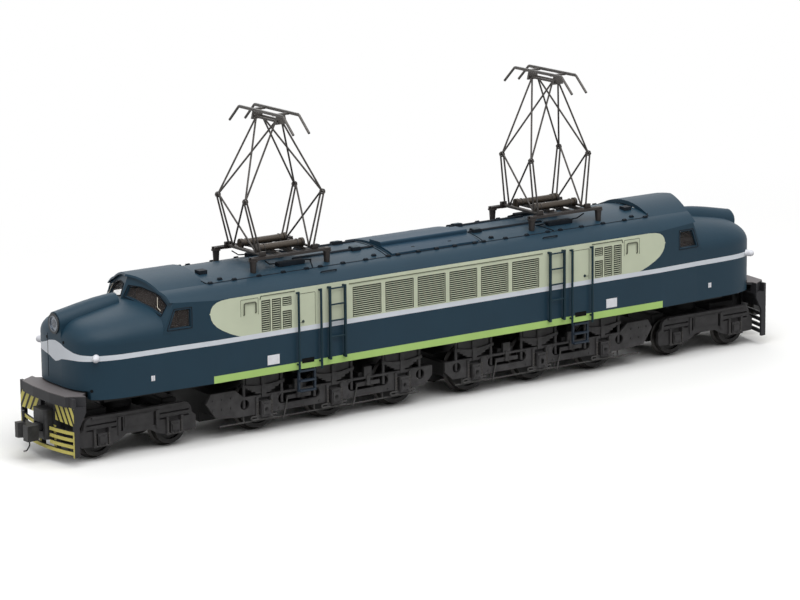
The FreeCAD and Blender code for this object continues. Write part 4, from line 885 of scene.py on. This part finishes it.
# the shorter leaves under each long one, and above it the guard plate and the buckle in front
def leafPack(x, side):
    look = leafLook
    (dip, low, top), guardHalf, edge, parts = look["guardZ"], look["guardHalf"], look["buckleHalf"], []
    for k, reach in enumerate(look["reaches"]):
        steps = [reach * share for share in (-1.0, -0.5, 0.0, 0.5, 1.0)]
        outline = [(dx, look["thick"] * k - look["lap"]) for dx in steps]
        outline += [(dx, look["thick"] * (k + 1)) for dx in reversed(steps)]
        parts.append(([(x + dx, side * look["leafY"], look["bottom"] + look["rise"] * (dx / look["half"]) ** 2 - drop)
                       for dx, drop in outline], (0, -side, 0), 0.08))
    guard = [(x - guardHalf, low), (x, dip), (x + guardHalf, low), (x + guardHalf, top), (x - guardHalf, top)]
    parts.append(([(px, side * look["guardY"], pz) for px, pz in guard], (0, -side * 0.4, 0), 0.08))
    parts.append((upright(x - edge, x + edge, side * look["buckleY"], dip, top), (0, -side * 0.8, 0), 0.1))
    return parts


def guideBoxes(body, sign):
    half = guideLook["boxHalf"]
    for name, (near, far, low, high, soften) in guideLook["boxes"].items():
        outline = upright(sign * near, sign * far, -half, low, high)
        slabs(body + "_cross_" + name, [(outline, (0, 2 * half, 0), soften)], "chassis", body)


# pantographs: contact strips on the bows, clamps on the spring tubes, and on the roof a black block for the raising
# gear, which also paints the shadow under the base
pantographLook = {
    "x": 49.2, "pivot": 8.9, "baseZ": 49.8, "lower": 16.1, "upper": 24.7, "top": 1.0, "lean": {"a": 15.0, "b": 6.5},
    "barX": 2.65, "barRise": 2.2, "barDia": 0.75, "strip": (0.31, 11.4, 0.28), "stripSink": 0.12,
    "clampX": (-7.4, -5.6, 5.6, 7.4), "clampCount": 12, "clampRadius": 1.1, "clamp": (0.35, 0.1, 6), "tubeY": 4.6,
    "tubeZ": 50.9, "gearX": (-5.6, 3.4), "gearY": (6.9, 9.3), "gearTall": 1.5, "gearSink": 0.15, "link": (0.4, 0.6, 6),
    # each link from an end of the gear, as steps outwards, sideways and up
    "links": ((3.4, ((-0.4, 0.0, 1.1), (2.6, 0.0, 1.3), (4.4, 0.8, 2.6))),
              (-5.6, ((0.4, 0.0, 1.1), (-2.4, 0.0, 0.9), (-4.2, -2.0, 0.3)))),
}


def pantographFittings(end, sign):
    look = pantographLook
    middle, lean, slot = sign * look["x"], math.radians(look["lean"][end]), "pantograph_steel"
    kneeZ = look["baseZ"] + look["lower"] * math.cos(lean)
    kneeX = look["pivot"] + look["lower"] * math.sin(lean)
    topZ = kneeZ + math.sqrt(look["upper"] ** 2 - (kneeX - look["top"]) ** 2)
    stripZ = topZ + look["barRise"] + look["barDia"] / 2 - look["stripSink"]
    wide, half, tall = look["strip"]
    strips = [(flat(x - wide, x + wide, -half, half, stripZ), (0, 0, tall), 0.08)
              for x in (middle - look["barX"], middle + look["barX"])]
    slabs("collector_" + end + "_strips", strips, "carbon", "collector_" + end)
    collars, gears, links = [], [], []
    angles = [2 * math.pi * k / look["clampCount"] for k in range(look["clampCount"])]
    near, far = (middle + sign * x for x in look["gearX"])
    for side in flanks:
        for x in look["clampX"]:
            ring = [(middle + x, side * look["tubeY"] + look["clampRadius"] * math.cos(a),
                     look["tubeZ"] + look["clampRadius"] * math.sin(a)) for a in angles]
            collars.append(ring + ring[:1])
        # a black block each side: the raising gear, and also a painted shadow under the base's side rail
        inner, outer = (side * y for y in look["gearY"])
        z = onRoof(near, outer)[0][2] - look["gearSink"]
        gears.append((flat(near, far, inner, outer, z), (0, 0, look["gearTall"]), 0.35))
        links += [[(middle + sign * (start + out), (inner + outer) / 2 + side * aside, z + rise)
                   for out, aside, rise in run] for start, run in look["links"]]
    name = "pantograph_" + end
    slabs(name + "_raising_gear_and_painted_shadow", gears, "rubber")
    wires(name + "_gear_links", links, look["link"], "rubber")
    wires(name + "_spring_clamps", collars, look["clamp"], "pantograph")


# couplers: the bent uncoupling wire under each knuckle
couplerLook = {"line": ((129.6, 0.4, 7.4), (129.6, 0.4, 3.4), (130.0, 1.4, 1.8), (129.8, 3.4, 1.2)),
               "wire": (0.4, 1.0, 8)}


def couplerWire(body, sign):
    line = [(sign * x, y, z) for x, y, z in couplerLook["line"]]
    wires(body + "_uncoupling_wire", [line], couplerLook["wire"], "coupler", body)


for end, sign in ends:
    power, guide = "power_truck_" + end, "guide_truck_" + end
    leaves = [part for side in flanks for x in drivers for part in leafPack(sign * x, side)]
    truckSprings(power, powerLook, sign)
    slabs(power + "_leaf_packs", leaves, "truck", power)
    truckTrim(power, powerLook, sign, "_brake_rods")
    guideBoxes(guide, sign)
    truckSprings(guide, guideLook, sign)
    truckTrim(guide, guideLook, sign, "_tie_bars")
    pantographFittings(end, sign)
    couplerWire("coupler_" + end, sign)
print("trucks, pantographs and couplers fitted")

# floor, light and camera
cameraLook = {"lens": 164.25, "sensor": 36.0, "clip": (0.01, 20.0), "azimuth": -34.694, "elevation": 12.531,
              "roll": -0.588, "distance": 1079.3, "shiftRight": 3.659, "shiftUp": -1.289, "middle": 26.0}


def placeCamera():
    look = cameraLook
    a, e, roll = (math.radians(look[k]) for k in ("azimuth", "elevation", "roll"))
    back = Vector((math.sin(a) * math.cos(e), -math.cos(a) * math.cos(e), math.sin(e)))
    right = Vector((math.cos(a), math.sin(a), 0))
    up = back.cross(right)
    turnedRight = right * math.cos(roll) + up * math.sin(roll)
    turnedUp = up * math.cos(roll) - right * math.sin(roll)
    spot = back * look["distance"] - turnedRight * look["shiftRight"] - turnedUp * look["shiftUp"]
    data = bpy.data.cameras.new("camera")
    data.lens, data.sensor_width = look["lens"], look["sensor"]
    data.clip_start, data.clip_end = look["clip"]
    camera = bpy.data.objects.new("camera", data)
    turn = Matrix((turnedRight, turnedUp, back)).transposed().to_4x4()
    camera.matrix_world = Matrix.Translation(at(spot.x, spot.y, spot.z + look["middle"])) @ turn
    bpy.context.collection.objects.link(camera)
    bpy.context.scene.camera = camera


def placeFloor():
    half = 4.0
    mesh = bpy.data.meshes.new("floor")
    mesh.from_pydata(flat(-half, half, -half, half, 0), [], [(0, 1, 2, 3)])
    mesh.materials.append(paints["floor"])
    floor = bpy.data.objects.new("floor", mesh)
    bpy.context.collection.objects.link(floor)


# a wide soft box nearly overhead, weaker ones from the nose end and behind, and an even dim world; each box has its
# place and size in metres and its power in watts
lightLook = {"overheadLight": ((-0.1, -0.5, 1.0), 1.2, 14.5), "noseLight": ((-1.1, -0.1, 0.6), 0.8, 2.5),
             "backLight": ((0.3, 0.8, 0.9), 0.9, 3.5)}
lightAim, roomLevel = Vector((0, 0, 0.03)), 0.28


def placeLights():
    for name, (place, size, power) in lightLook.items():
        data = bpy.data.lights.new(name, "AREA")
        data.size, data.energy = size, power
        lamp = bpy.data.objects.new(name, data)
        lamp.location = place
        lamp.rotation_euler = (lightAim - lamp.location).to_track_quat("-Z", "Y").to_euler()
        bpy.context.collection.objects.link(lamp)
    world = bpy.data.worlds.new("pale_room")
    bpy.context.scene.world = world
    world.use_nodes = True
    tree = world.node_tree
    tree.nodes.clear()
    strength = add(tree, "MapRange", seenRays(tree), 0.0, 1.0, roomLevel, 1.0)
    add(tree, "OutputWorld", add(tree, "Background", (1, 1, 1, 1), strength))


placeCamera()
placeFloor()
placeLights()
bpy.context.scene.view_settings.view_transform = "Standard"
print("camera, floor and light in place")
